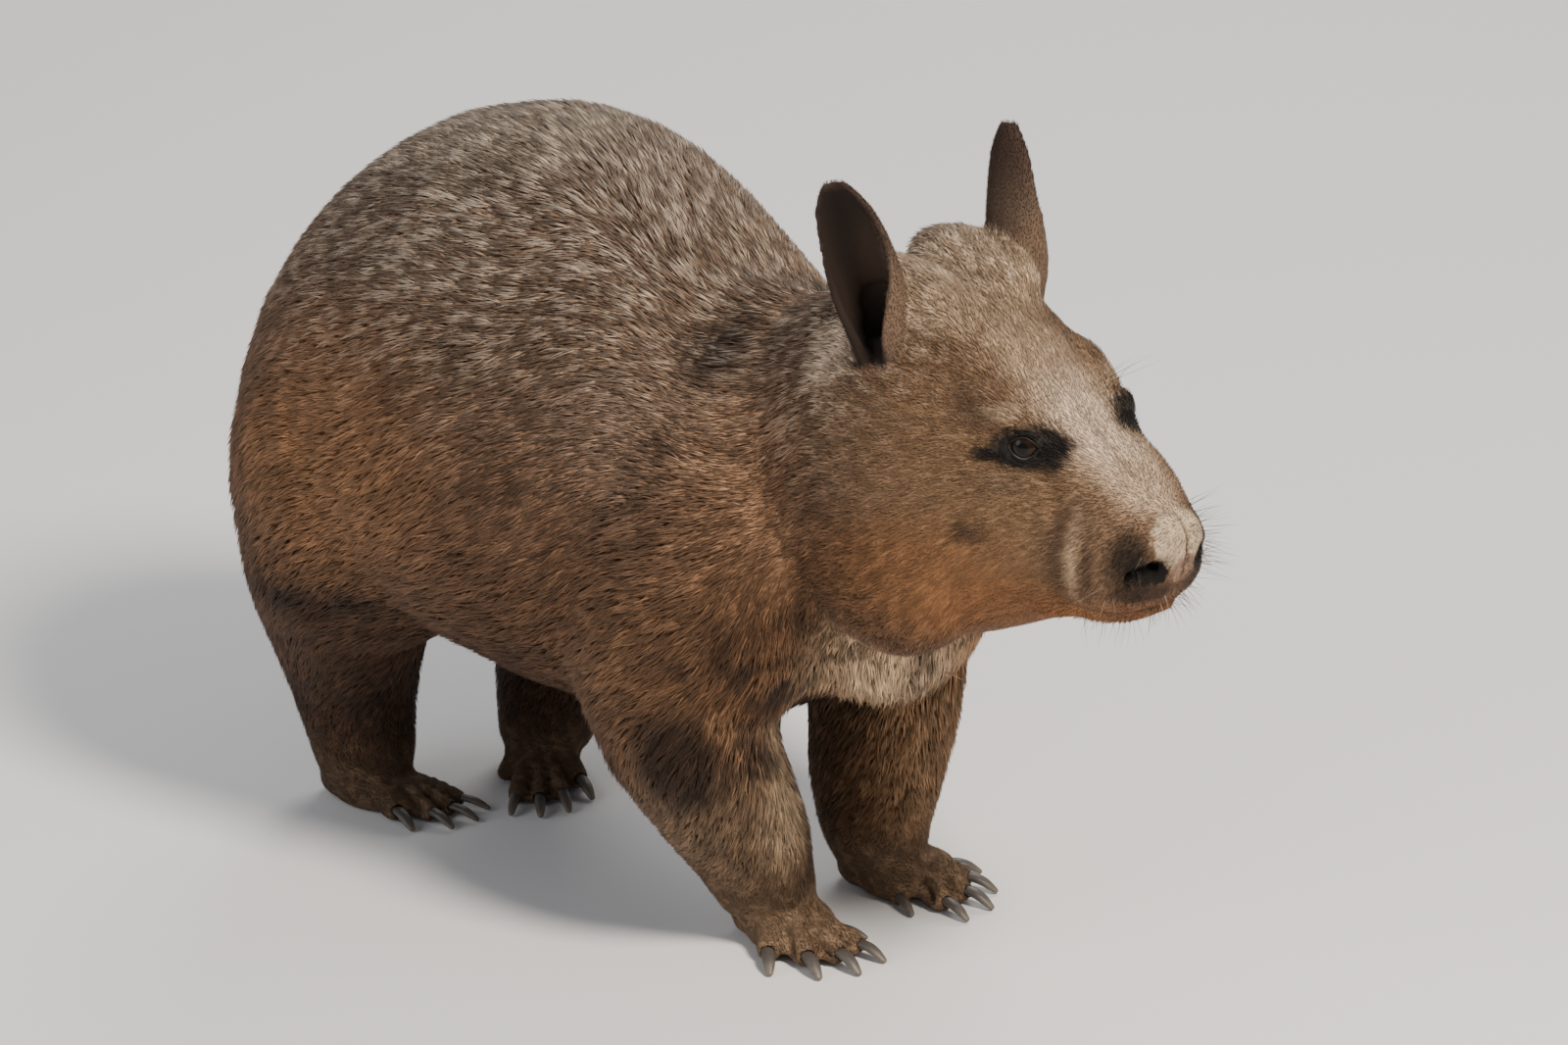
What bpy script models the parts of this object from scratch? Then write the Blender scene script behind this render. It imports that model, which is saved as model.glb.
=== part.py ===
# A life-size southern hairy-nosed wombat, standing with its back arched, as a still museum model.
# Metres, +X towards the nose, +Y to the animal's left, +Z up, feet on Z = 0.
# The animal is melted together from rounded masses, then parted with thin cuts into its named parts.
import math

import bmesh
import bpy
import numpy as np
from mathutils import Matrix, Vector
from mathutils.bvhtree import BVHTree

# Gap kept between the faces of neighbouring pieces
GAP = 0.0003
# Voxels of the melted flesh, and the triangles that are left of each group once it is thinned
BODY_VOXEL = 0.0045
LIMB_VOXEL = 0.0027
HEAD_VOXEL = 0.0024
HEAD_TRIANGLES = 2500
BODY_TRIANGLES = 3200
FOOT_TRIANGLES = 520
RING_POINTS = 32

# Torso stations, hip to shoulder: x, top, bottom, half width, height of the widest level
TORSO = (
    (-0.290, 0.427, 0.138, 0.147, 0.252),
    (-0.240, 0.436, 0.126, 0.156, 0.252),
    (-0.190, 0.428, 0.112, 0.151, 0.242),
    (-0.135, 0.398, 0.105, 0.138, 0.230),
    (-0.085, 0.366, 0.115, 0.123, 0.228),
    (-0.035, 0.356, 0.137, 0.107, 0.238),
    (0.020, 0.362, 0.162, 0.086, 0.256),
)
# The rump is rounded off: how far it reaches back of the hip station, and how far it sinks
RUMP_REACH = 0.142
RUMP_SINK = 0.050
BREAST_REACH = 0.020
# Rounded masses melted onto the torso: name, centre, radii, turn outwards and tip of the nose end
# down in degrees. A mass off the middle line is made on both sides.
TORSO_MASSES = (
    ("haunch", (-0.298, 0.080, 0.230), (0.098, 0.073, 0.106), 0, 9),
    ("shoulder", (-0.055, 0.076, 0.226), (0.076, 0.060, 0.088), 0, -6),
    ("withers", (-0.050, 0.0, 0.342), (0.085, 0.040, 0.026), 0, 8),
    ("nape", (-0.002, 0.0, 0.362), (0.052, 0.050, 0.028), 0, -14),
    ("breast", (0.004, 0.0, 0.205), (0.056, 0.068, 0.056), 0, -28),
)
# Head stations, nape to nose: x, top, bottom, half width, height of the widest level
HEAD = (
    (-0.030, 0.364, 0.195, 0.084, 0.276),
    (0.010, 0.395, 0.195, 0.091, 0.280),
    (0.045, 0.412, 0.203, 0.092, 0.274),
    (0.080, 0.404, 0.211, 0.088, 0.272),
    (0.110, 0.387, 0.222, 0.077, 0.276),
    (0.140, 0.364, 0.236, 0.061, 0.286),
    (0.165, 0.344, 0.248, 0.049, 0.288),
    (0.188, 0.327, 0.256, 0.041, 0.288),
    (0.205, 0.316, 0.262, 0.034, 0.288),
)
NOSE_REACH = 0.016
NAPE_REACH = 0.030
# Masses of the straight head, as on the torso
HEAD_MASSES = (
    ("cheek", (0.062, 0.058, 0.262), (0.060, 0.036, 0.052), 0, 14),
    ("crown", (0.044, 0.028, 0.402), (0.046, 0.027, 0.020), 0, 5),
    ("brow", (0.124, 0.036, 0.358), (0.030, 0.014, 0.012), -18, 34),
    ("orbit", (0.1422, 0.0352, 0.3440), (0.018, 0.0105, 0.0135), -25, 10),
    ("bridge", (0.170, 0.016, 0.322), (0.042, 0.022, 0.0155), 0, 30),
    ("lip", (0.183, 0.020, 0.276), (0.031, 0.022, 0.020), -17, 12),
    ("nose", (0.207, 0.0, 0.297), (0.019, 0.0245, 0.0225), 0, 40),
    ("chin", (0.150, 0.0, 0.251), (0.036, 0.024, 0.012), 0, -16),
)
# The head is carried turned a little to its right and tilted, left side up
HEAD_PIVOT = Vector((0.0, 0.0, 0.30))
HEAD_YAW = math.radians(-5.5)
HEAD_ROLL = math.radians(1.5)

# Leg stations from shoulder or hip down: centre, half thickness fore and aft, half thickness across
FORELEGS = {
    "right": (
        ((-0.060, -0.088, 0.255), 0.062, 0.044),
        ((-0.072, -0.092, 0.190), 0.060, 0.048),
        ((-0.066, -0.083, 0.130), 0.058, 0.048),
        ((-0.060, -0.060, 0.080), 0.049, 0.042),
        ((-0.054, -0.042, 0.040), 0.036, 0.032),
        ((-0.047, -0.036, 0.014), 0.026, 0.026),
    ),
    "left": (
        ((-0.058, 0.086, 0.255), 0.058, 0.044),
        ((-0.067, 0.090, 0.190), 0.055, 0.048),
        ((-0.061, 0.082, 0.130), 0.050, 0.046),
        ((-0.054, 0.066, 0.080), 0.044, 0.040),
        ((-0.046, 0.053, 0.040), 0.034, 0.032),
        ((-0.043, 0.055, 0.014), 0.026, 0.026),
    ),
}
HINDLEGS = {
    "right": (
        ((-0.300, -0.095, 0.225), 0.094, 0.052),
        ((-0.314, -0.092, 0.165), 0.068, 0.052),
        ((-0.336, -0.070, 0.115), 0.050, 0.043),
        ((-0.354, -0.049, 0.072), 0.041, 0.035),
        ((-0.356, -0.041, 0.036), 0.034, 0.031),
        ((-0.353, -0.041, 0.014), 0.028, 0.028),
    ),
    "left": (
        ((-0.270, 0.095, 0.225), 0.094, 0.052),
        ((-0.274, 0.094, 0.165), 0.072, 0.052),
        ((-0.282, 0.076, 0.115), 0.050, 0.042),
        ((-0.293, 0.061, 0.072), 0.040, 0.034),
        ((-0.300, 0.060, 0.036), 0.033, 0.030),
        ((-0.301, 0.057, 0.014), 0.028, 0.028),
    ),
}
# Feet: the point of the sole under the ankle, and the heading in degrees left of +X
FOREFEET = {"right": ((-0.046, -0.034), -9.0), "left": ((-0.044, 0.057), 6.0)}
HINDFEET = {"right": ((-0.355, -0.044), 4.0), "left": ((-0.305, 0.057), -42.0)}
# Toes, outermost first: angle in from the heading in degrees, reach of the tip, radius
FORETOES = (
    (-47, 0.037, 0.0086),
    (-21, 0.046, 0.0090),
    (-2, 0.052, 0.0092),
    (16, 0.052, 0.0084),
    (40, 0.032, 0.0070),
)
HINDTOES = ((-24, 0.043, 0.0086), (-7, 0.056, 0.0080), (6, 0.061, 0.0074), (19, 0.060, 0.0070))
# The clawless first toe of a hind foot, on its inner side
HINDTHUMB = (46, 0.032, 0.0068)
# Palms: half length, half width and half height; the heel under the ankle: half length and height
FOREPALM = (0.025, 0.027, 0.016)
HINDPALM = (0.033, 0.023, 0.015)
HEEL = (0.021, 0.014)
CLAW_LENGTH = 0.017
CLAW_WIDTH = 0.48
CLAW_TIP_LEVEL = 0.0040
ANKLE_LEVEL = 0.043

# Balls whose hull parts a leg from the torso: number of the leg station, shift outwards, radius
SLEEVES = {
    "foreleg": ((1, 0.018, 0.066), (2, 0.014, 0.067), (3, 0.000, 0.052), (5, 0.000, 0.032)),
    "hindleg": ((1, 0.020, 0.090), (2, 0.006, 0.066), (3, 0.002, 0.048), (5, 0.000, 0.039)),
}
# The stub of a tail, hidden in life in the fur of the rump
TAIL = ((-0.402, 0.0, 0.258), (-0.420, 0.0, 0.248), (-0.434, 0.0, 0.236))
TAIL_RADII = (0.013, 0.011, 0.006)
# Level of the flat soles, before the animal is set down on zero
SOLE_LEVEL = 0.0015

# Planes that part head from neck and neck from torso: a point and the forward normal
HEAD_CUT = (Vector((0.012, 0.0, 0.300)), Vector((0.971, 0.0, 0.240)).normalized())
NECK_CUT = (Vector((-0.048, 0.0, 0.290)), Vector((0.943, 0.0, 0.334)).normalized())
# Flesh kept past a cut while a group is thinned, so that the cut itself stays sharp
MARGIN = 0.008

# The eyes, in the straight head's own frame
EYE_RADIUS = 0.0090
EYE_PLACE = Vector((0.1422, 0.0352, 0.3440))
EYE_LOOK = Vector((0.50, 0.86, 0.10)).normalized()

# Thickness of the lids, and half width and half height of the slit between them
LID = 0.0016
SLIT = (0.0084, 0.0060)
# Mouth, left half from the middle of the lip back to its corner, and the radius of its groove
MOUTH = (
    (0.2045, 0.0, 0.2650),
    (0.1990, 0.0120, 0.2630),
    (0.1860, 0.0215, 0.2600),
    (0.1690, 0.0290, 0.2565),
    (0.1540, 0.0350, 0.2575),
)
MOUTH_GROOVE = 0.0017
# Lips along the mouth: name, height above its line, radius
LIPS = (("upper_lip", 0.0042, 0.0050), ("lower_lip", -0.0030, 0.0036))
PHILTRUM_GROOVE = 0.0014
# Left nostril from outside in, and the groove down the middle of the nose pad
NOSTRIL = ((0.2100, 0.0270, 0.2830), (0.2180, 0.0180, 0.2870), (0.2120, 0.0105, 0.2920))
NOSTRIL_RADII = (0.0044, 0.0052, 0.0040)
PHILTRUM = ((0.2220, 0.0, 0.3000), (0.2235, 0.0, 0.2900), (0.2200, 0.0, 0.2760), (0.2120, 0.0, 0.2640))

# Ears, in the straight head's own frame; the bow moves their middle forward
EAR_BASE = Vector((0.055, 0.049, 0.366))
EAR_TIP = Vector((0.034, 0.067, 0.470))
EAR_FACING = Vector((0.260, 0.966, 0.0))
EAR_BOW = 0.003
# Ear sections from base to tip: share of the height, half width, depth, wall, wrap past the half turn
EAR_SECTIONS = (
    (0.00, 0.0130, 0.0130, 0.0050, 66),
    (0.20, 0.0165, 0.0155, 0.0046, 58),
    (0.38, 0.0200, 0.0160, 0.0036, 36),
    (0.55, 0.0215, 0.0140, 0.0027, 14),
    (0.72, 0.0205, 0.0110, 0.0022, 0),
    (0.86, 0.0170, 0.0082, 0.0019, 0),
    (0.96, 0.0105, 0.0050, 0.0016, 0),
    (1.00, 0.0062, 0.0030, 0.0013, 0),
)
# The hollow of each ear runs down into the head, between these shares of the ear's height
CONCHA = (0.20, 0.62)

# Finishes: base colour and roughness
FUR_GREY = ((0.170, 0.135, 0.105), 0.85)
FUR_TAN = ((0.210, 0.155, 0.105), 0.85)
FUR_DARK = ((0.075, 0.055, 0.040), 0.85)
EAR_SKIN = ((0.045, 0.032, 0.026), 0.75)
EYE_BLACK = ((0.010, 0.008, 0.007), 0.10)
CLAW_SLATE = ((0.060, 0.058, 0.058), 0.45)


def clear_scene():
    for found in list(bpy.data.objects):
        bpy.data.objects.remove(found)


def object_of(name, bm):
    mesh = bpy.data.meshes.new(name)
    bm.to_mesh(mesh)
    bm.free()
    made = bpy.data.objects.new(name, mesh)
    bpy.context.scene.collection.objects.link(made)
    return made


def finish(piece, look):
    colour, roughness = look
    material = bpy.data.materials.new(piece.name)
    material.use_nodes = True
    shader = material.node_tree.nodes["Principled BSDF"]
    shader.inputs["Base Color"].default_value = (*colour, 1.0)
    shader.inputs["Roughness"].default_value = roughness
    shader.inputs["Metallic"].default_value = 0.0
    piece.data.materials.clear()
    piece.data.materials.append(material)
    return piece


def smooth_rows(rows, steps):
    """Rows between the given ones, on a Catmull-Rom curve through all their columns."""
    rows = np.array(rows, float)
    padded = np.vstack([2 * rows[0] - rows[1], rows, 2 * rows[-1] - rows[-2]])
    found = []
    for first in range(len(rows) - 1):
        a, b, c, d = padded[first : first + 4]
        for t in np.linspace(0, 1, steps, endpoint=False):
            bend = (2 * a - 5 * b + 4 * c - d) * t**2 + (3 * b - a - 3 * c + d) * t**3
            found.append(0.5 * (2 * b + (c - a) * t + bend))
    found.append(rows[-1])
    return np.array(found)


def loft(name, rings):
    """A closed body through rings of equal length, its ends filled."""
    bm = bmesh.new()
    made = [[bm.verts.new(point) for point in ring] for ring in rings]
    for low, high in zip(made, made[1:]):
        for i, corner in enumerate(low):
            after = (i + 1) % len(low)
            bm.faces.new((corner, low[after], high[after], high[i]))
    bm.faces.new(made[0][::-1])
    bm.faces.new(made[-1])
    bmesh.ops.recalc_face_normals(bm, faces=bm.faces)
    return object_of(name, bm)


def egg_ring(x, top, bottom, half_width, wide):
    """An egg-shaped section across +X, widest at its own height."""
    ring = []
    for i in range(RING_POINTS):
        angle = 2 * math.pi * i / RING_POINTS
        c, s = math.cos(angle), math.sin(angle)
        reach = (top - wide) if s > 0 else (wide - bottom)
        ring.append((x, half_width * c, wide + reach * s))
    return ring


def egg_body(name, stations, front_reach, back_reach, back_sink=0.0):
    """A closed body of egg sections, rounded off past its first and last station."""
    rows = smooth_rows(stations, 6)
    rings = []
    for end, reach, sink in ((0, -back_reach, back_sink), (-1, front_reach, 0.0)):
        x, top, bottom, half, wide = rows[end]
        middle = (top + bottom) / 2
        cap = []
        for k in range(1, 9):
            angle = math.radians(10 * k)
            out, shrink = math.sin(angle), math.cos(angle)
            levels = [middle - sink * out + (level - middle) * shrink for level in (top, bottom, wide)]
            cap.append(egg_ring(x + reach * out, levels[0], levels[1], half * shrink, levels[2]))
        rings.append(cap)
    return loft(name, rings[0][::-1] + [egg_ring(*row) for row in rows] + rings[1])


def limb(name, stations, points=20):
    """A tapering limb through stations of centre, half thickness fore and aft, and across."""
    rings = []
    for x, y, z, along, across in smooth_rows([(*s[0], s[1], s[2]) for s in stations], 5):
        turn = [2 * math.pi * i / points for i in range(points)]
        rings.append([(x + along * math.cos(a), y + across * math.sin(a), z) for a in turn])
    return loft(name, rings)


def blob(name, centre, radii, turn=0.0, tip=0.0, detail=3):
    """An ellipsoid of the given radii, nosed down by tip and then turned about Z, in degrees."""
    bm = bmesh.new()
    place = Matrix.Translation(centre) @ Matrix.Rotation(math.radians(turn), 4, "Z")
    place = place @ Matrix.Rotation(math.radians(tip), 4, "Y") @ Matrix.Diagonal((*radii, 1.0))
    bmesh.ops.create_icosphere(bm, subdivisions=detail, radius=1.0, matrix=place)
    return object_of(name, bm)


def tube(name, path, radii, points=12, flat=1.0, steps=4, grow=0.0):
    """A tube with half-round ends through path points; flat thins it from top to bottom."""
    rows = smooth_rows([(*p, r + grow) for p, r in zip(path, radii)], steps)
    centres = [Vector(row[:3]) for row in rows]
    tangents = []
    for i in range(len(centres)):
        before, after = centres[max(i - 1, 0)], centres[min(i + 1, len(centres) - 1)]
        tangents.append((after - before).normalized())
    side = Vector((0, 0, 1)).cross(tangents[0])
    if side.length < 0.1:
        side = Vector((0, 1, 0))
    frames = []
    for tangent in tangents:
        side = (side - tangent * side.dot(tangent)).normalized()
        frames.append((side.copy(), tangent.cross(side)))
    last = len(centres) - 1
    round_off = np.radians([66, 36])
    places = [(0, -math.sin(a), math.cos(a)) for a in round_off]
    places += [(i, 0.0, 1.0) for i in range(len(centres))]
    places += [(last, math.sin(a), math.cos(a)) for a in round_off[::-1]]
    rings = []
    for i, ahead, shrink in places:
        radius = rows[i][3]
        middle = centres[i] + tangents[i] * ahead * radius
        across, up = frames[i]
        ring = []
        for k in range(points):
            angle = 2 * math.pi * k / points
            out = across * math.cos(angle) + up * math.sin(angle) * flat
            ring.append(middle + out * radius * shrink)
        rings.append(ring)
    return loft(name, rings)


def joined(name, pieces):
    """The pieces as one object of several closed shells."""
    bm = bmesh.new()
    for piece in pieces:
        bm.from_mesh(piece.data)
        bpy.data.objects.remove(piece)
    return object_of(name, bm)


def copy_of(name, piece, grow=0.0):
    """A copy, its surface moved out along its normals by grow."""
    bm = bmesh.new()
    bm.from_mesh(piece.data)
    bm.normal_update()
    for vertex in bm.verts:
        vertex.co += vertex.normal * grow
    return object_of(name, bm)


def settle(piece):
    """Replaces the piece's mesh by what its modifiers make of it."""
    graph = bpy.context.evaluated_depsgraph_get()
    mesh = bpy.data.meshes.new_from_object(piece.evaluated_get(graph))
    piece.modifiers.clear()
    piece.data = mesh
    return piece


def fused(piece, voxel, rounds):
    """Melts the shells into one skin of small faces and rounds it."""
    remesh = piece.modifiers.new("melt", "REMESH")
    remesh.mode = "VOXEL"
    remesh.voxel_size = voxel
    relax = piece.modifiers.new("round", "SMOOTH")
    relax.factor = 0.5
    relax.iterations = rounds
    return settle(piece)


def thinned(piece, triangles):
    """Collapses edges until about that many triangles are left."""
    count = sum(len(face.vertices) - 2 for face in piece.data.polygons)
    thin = piece.modifiers.new("thin", "DECIMATE")
    thin.ratio = min(1.0, triangles / count)
    return settle(piece)


def largest_body(piece):
    """Keeps only the largest connected surface of the piece, in triangles."""
    bm = bmesh.new()
    bm.from_mesh(piece.data)
    bmesh.ops.remove_doubles(bm, verts=bm.verts, dist=0.00001)
    bmesh.ops.dissolve_degenerate(bm, edges=bm.edges, dist=0.00001)
    bmesh.ops.triangulate(bm, faces=bm.faces)
    left = set(bm.faces)
    best = set()
    while left:
        group, front = set(), [left.pop()]
        while front:
            face = front.pop()
            group.add(face)
            for edge in face.edges:
                for neighbour in edge.link_faces:
                    if neighbour in left:
                        left.remove(neighbour)
                        front.append(neighbour)
        if len(group) > len(best):
            best = group
    bmesh.ops.delete(bm, geom=[face for face in bm.faces if face not in best], context="FACES")
    bm.to_mesh(piece.data)
    bm.free()
    return piece


def carved(piece, cutter, operation="DIFFERENCE", keep_cutter=False):
    """The piece after a Boolean with the cutter, which is then removed."""
    cut = piece.modifiers.new("cut", "BOOLEAN")
    cut.operation = operation
    cut.solver = "EXACT"
    cut.object = cutter
    settle(piece)
    if not keep_cutter:
        bpy.data.objects.remove(cutter)
    return largest_body(piece)


def sliced(name, piece, point, normal, shift):
    """A copy of what lies on the normal's side of a plane, its cut face filled flat."""
    bm = bmesh.new()
    bm.from_mesh(piece.data)
    everything = bm.verts[:] + bm.edges[:] + bm.faces[:]
    place = point + normal * shift
    bmesh.ops.bisect_plane(bm, geom=everything, plane_co=place, plane_no=normal, clear_inner=True)
    rim = [edge for edge in bm.edges if edge.is_boundary]
    bmesh.ops.holes_fill(bm, edges=rim, sides=0)
    bmesh.ops.recalc_face_normals(bm, faces=bm.faces)
    return object_of(name, bm)


def head_place(point):
    """A point of the straight head, turned and tilted as the animal carries it."""
    turn = Matrix.Rotation(HEAD_YAW, 3, "Z") @ Matrix.Rotation(HEAD_ROLL, 3, "X")
    return HEAD_PIVOT + turn @ (Vector(point) - HEAD_PIVOT)


def mirrored(point, side):
    """A point given for the left side, on the asked side: 1 is left, -1 is right."""
    return Vector((point[0], point[1] * side, point[2]))


def carry_head(pieces):
    """Moves pieces made on the straight head to where the animal carries it."""
    for piece in pieces:
        for vertex in piece.data.vertices:
            vertex.co = head_place(vertex.co)
    return pieces


def masses(rows):
    """Rounded masses from a table; one whose centre is off the middle is made on both sides."""
    pieces = []
    for name, centre, radii, turn, tip in rows:
        for side in (-1, 1) if centre[1] else (1,):
            pieces.append(blob(name, mirrored(centre, side), radii, turn * side, tip))
    return pieces


def torso_masses():
    return [egg_body("torso_mass", TORSO, BREAST_REACH, RUMP_REACH, RUMP_SINK)] + masses(TORSO_MASSES)


def head_masses():
    return carry_head([egg_body("head_mass", HEAD, NOSE_REACH, NAPE_REACH)] + masses(HEAD_MASSES))


def claw(name, root, heading, length, radius, grow=0.0):
    """A broad, blunt digging claw that curves forward and down from inside its toe."""
    ahead = Vector((math.cos(heading), math.sin(heading), 0))
    drop = Vector((0, 0, root.z - CLAW_TIP_LEVEL))
    path = [
        root - ahead * length * 0.25,
        root + ahead * length * 0.25 + drop * 0.05,
        root + ahead * length * 0.62 - drop * 0.38,
        root + ahead * length * 0.92 - drop,
    ]
    return tube(name, path, (radius * 0.9, radius, radius * 0.94, radius * 0.60), 8, 0.66, 1, grow)


def foot(kind, side_name, place, heading, toes, palm):
    """The masses of one foot, and the roots and headings of its claws."""
    heading = math.radians(heading)
    inward = -1 if side_name == "left" else 1
    under = Vector((*place, 0.0))

    def spot(angle, reach, height):
        direction = heading + inward * math.radians(angle)
        return under + Vector((math.cos(direction) * reach, math.sin(direction) * reach, height))

    length, width, height = palm
    turn = math.degrees(heading)
    pieces = [blob("palm", spot(0, 0.012, height * 0.72), (length, width, height), turn)]
    pieces.append(blob("heel", spot(180, 0.006, 0.012), (HEEL[0], width * 0.82, HEEL[1]), turn))
    claws = []
    clawless = (HINDTHUMB,) if kind == "hind" else ()
    for number, (angle, reach, radius) in enumerate((*toes, *clawless), 1):
        knuckle = height + 0.001
        path = [
            spot(angle * 0.8, reach * 0.35, knuckle),
            spot(angle, reach * 0.72, radius + 0.005),
            spot(angle, reach, radius),
        ]
        pieces.append(tube("toe", path, (radius * 0.95, radius * 1.05, radius * 0.92)))
        root = spot(angle, reach + radius * 0.45, radius * 1.10)
        direction = heading + inward * math.radians(angle * 0.8)
        if number <= len(toes):
            claws.append((f"claw_{kind}_{side_name}_{number}", root, direction, radius * CLAW_WIDTH))
    return pieces, claws


def feet():
    pieces, claws = [], []
    for kind, places, toes, palm in (
        ("fore", FOREFEET, FORETOES, FOREPALM),
        ("hind", HINDFEET, HINDTOES, HINDPALM),
    ):
        for side_name, (place, heading) in places.items():
            found, roots = foot(kind, side_name, place, heading, toes, palm)
            pieces += found
            claws += roots
    return pieces, claws


def flesh_and_claws():
    """The whole animal as one skin, and where its claws are rooted."""
    pieces = torso_masses() + head_masses()
    for stations in (*FORELEGS.values(), *HINDLEGS.values()):
        pieces.append(limb("leg", stations))
    body = fused(joined("body", pieces), BODY_VOXEL, 14)
    toes, claws = feet()
    return fused(joined("flesh", [body] + toes), LIMB_VOXEL, 3), claws


def eye_lids(side):
    """The swelling of the lids round one eye, which the eyeball and the slit then hollow."""
    return blob("lids", mirrored(EYE_PLACE, side), (EYE_RADIUS + LID,) * 3)


def mouth_line(skin, side):
    """From the middle of the upper lip back along one side of the mouth, on the skin."""
    tree = BVHTree.FromObject(skin, bpy.context.evaluated_depsgraph_get())
    return [tree.find_nearest(head_place(mirrored(point, side)))[0] for point in MOUTH]


def head_and_ears(flesh):
    """The head with its features, and the two ears that stand on it."""
    block = sliced("head_block", flesh, *HEAD_CUT, -MARGIN)
    mouth = mouth_line(block, -1)[:0:-1] + mouth_line(block, 1)
    lips = carry_head([eye_lids(side) for side in (-1, 1)])
    for name, rise, radius in LIPS:
        along = [point + Vector((0, 0, rise)) for point in mouth]
        lips.append(tube(name, along, (radius,) * len(mouth)))
    whole = fused(joined("head_skin", [block] + lips), HEAD_VOXEL, 3)
    thin = thinned(whole, HEAD_TRIANGLES)
    head = largest_body(sliced("head", thin, *HEAD_CUT, GAP / 2))
    bpy.data.objects.remove(thin)
    for side, side_name in ((-1, "right"), (1, "left")):
        shell = ear(f"ear_{side_name}", side)
        carved(shell, copy_of("ear_cut", head, GAP))
        finish(shell, EAR_SKIN)
    for side in (-1, 1):
        carved(head, concha(side))
        carved(head, carry_head([slit(side)])[0])
        carved(head, carry_head([nostril(side)])[0])
        eye = head_place(mirrored(EYE_PLACE, side))
        carved(head, blob("socket", eye, (EYE_RADIUS + GAP,) * 3, detail=2))
    tree = BVHTree.FromObject(head, bpy.context.evaluated_depsgraph_get())
    groove = [tree.find_nearest(point)[0] for point in mouth]
    carved(head, tube("mouth_groove", groove, (MOUTH_GROOVE,) * len(groove), 6, 1.0, 2))
    cleft = [tree.find_nearest(head_place(point))[0] for point in PHILTRUM]
    carved(head, tube("philtrum", cleft, (PHILTRUM_GROOVE,) * len(cleft), 6, 1.0, 2))
    return finish(head, FUR_TAN)


def slit(side):
    """The almond opening between the lids."""
    centre = mirrored(EYE_PLACE, side)
    look = mirrored(EYE_LOOK, side)
    along = Vector((0, 0, 1)).cross(look).normalized() * side
    up = look.cross(along) * side
    rings = []
    for depth, share in ((0.004, 0.9), (0.0085, 1.0), (0.013, 1.1)):
        ring = []
        for k in range(12):
            angle = 2 * math.pi * k / 12
            wide, high = SLIT[0] * math.cos(angle), SLIT[1] * math.sin(angle)
            ring.append(centre + look * depth + (along * wide + up * high) * share)
        rings.append(ring)
    return loft("slit", rings)


def nostril(side):
    """A comma-shaped opening that runs back and in from the side of the nose pad."""
    path = [mirrored(point, side) for point in NOSTRIL]
    return tube("nostril", path, NOSTRIL_RADII, 8, 0.7, 2)


def hull_of_balls(name, balls):
    """The convex hull round balls of given centre and radius."""
    bm = bmesh.new()
    for centre, radius in balls:
        bmesh.ops.create_icosphere(bm, subdivisions=2, radius=radius, matrix=Matrix.Translation(centre))
    bmesh.ops.delete(bm, geom=bm.faces[:] + bm.edges[:], context="EDGES_FACES")
    bmesh.ops.convex_hull(bm, input=bm.verts)
    bmesh.ops.delete(bm, geom=[vertex for vertex in bm.verts if not vertex.link_faces], context="VERTS")
    bmesh.ops.recalc_face_normals(bm, faces=bm.faces)
    return object_of(name, bm)


def sleeve(kind, stations, side, grow=0.0):
    """The rounded block that parts a leg from the torso."""
    balls = []
    for number, outwards, radius in SLEEVES[kind]:
        balls.append((Vector(stations[number][0]) + Vector((0, side * outwards, 0)), radius + grow))
    return hull_of_balls(f"sleeve_{kind}", balls)


def body_parts(flesh):
    """Torso, neck, legs and tail."""
    level = Vector((0, 0, ANKLE_LEVEL))
    up = Vector((0, 0, 1))
    above = sliced("above", flesh, level, up, -MARGIN)
    block = sliced("block", above, HEAD_CUT[0], -HEAD_CUT[1], -MARGIN)
    thinned(block, BODY_TRIANGLES)
    raised = sliced("raised", block, level, up, GAP / 2)
    body = sliced("body", raised, HEAD_CUT[0], -HEAD_CUT[1], GAP / 2)
    rest = copy_of("rest", body)
    for kind, legs in (("foreleg", FORELEGS), ("hindleg", HINDLEGS)):
        for side, side_name in ((-1, "right"), (1, "left")):
            leg = copy_of(f"{kind}_{side_name}", body)
            carved(leg, sleeve(kind, legs[side_name], side), "INTERSECT")
            finish(leg, FUR_DARK)
            carved(rest, sleeve(kind, legs[side_name], side, GAP))
    torso = largest_body(sliced("torso", rest, NECK_CUT[0], -NECK_CUT[1], GAP / 2))
    neck = largest_body(sliced("neck", rest, *NECK_CUT, GAP / 2))
    tail = tube("tail", TAIL, TAIL_RADII, 12)
    carved(tail, copy_of("tail_cut", torso, GAP))
    for piece in (torso, neck, tail):
        finish(piece, FUR_GREY)
    for scrap in (above, block, raised, body, rest):
        bpy.data.objects.remove(scrap)


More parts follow.
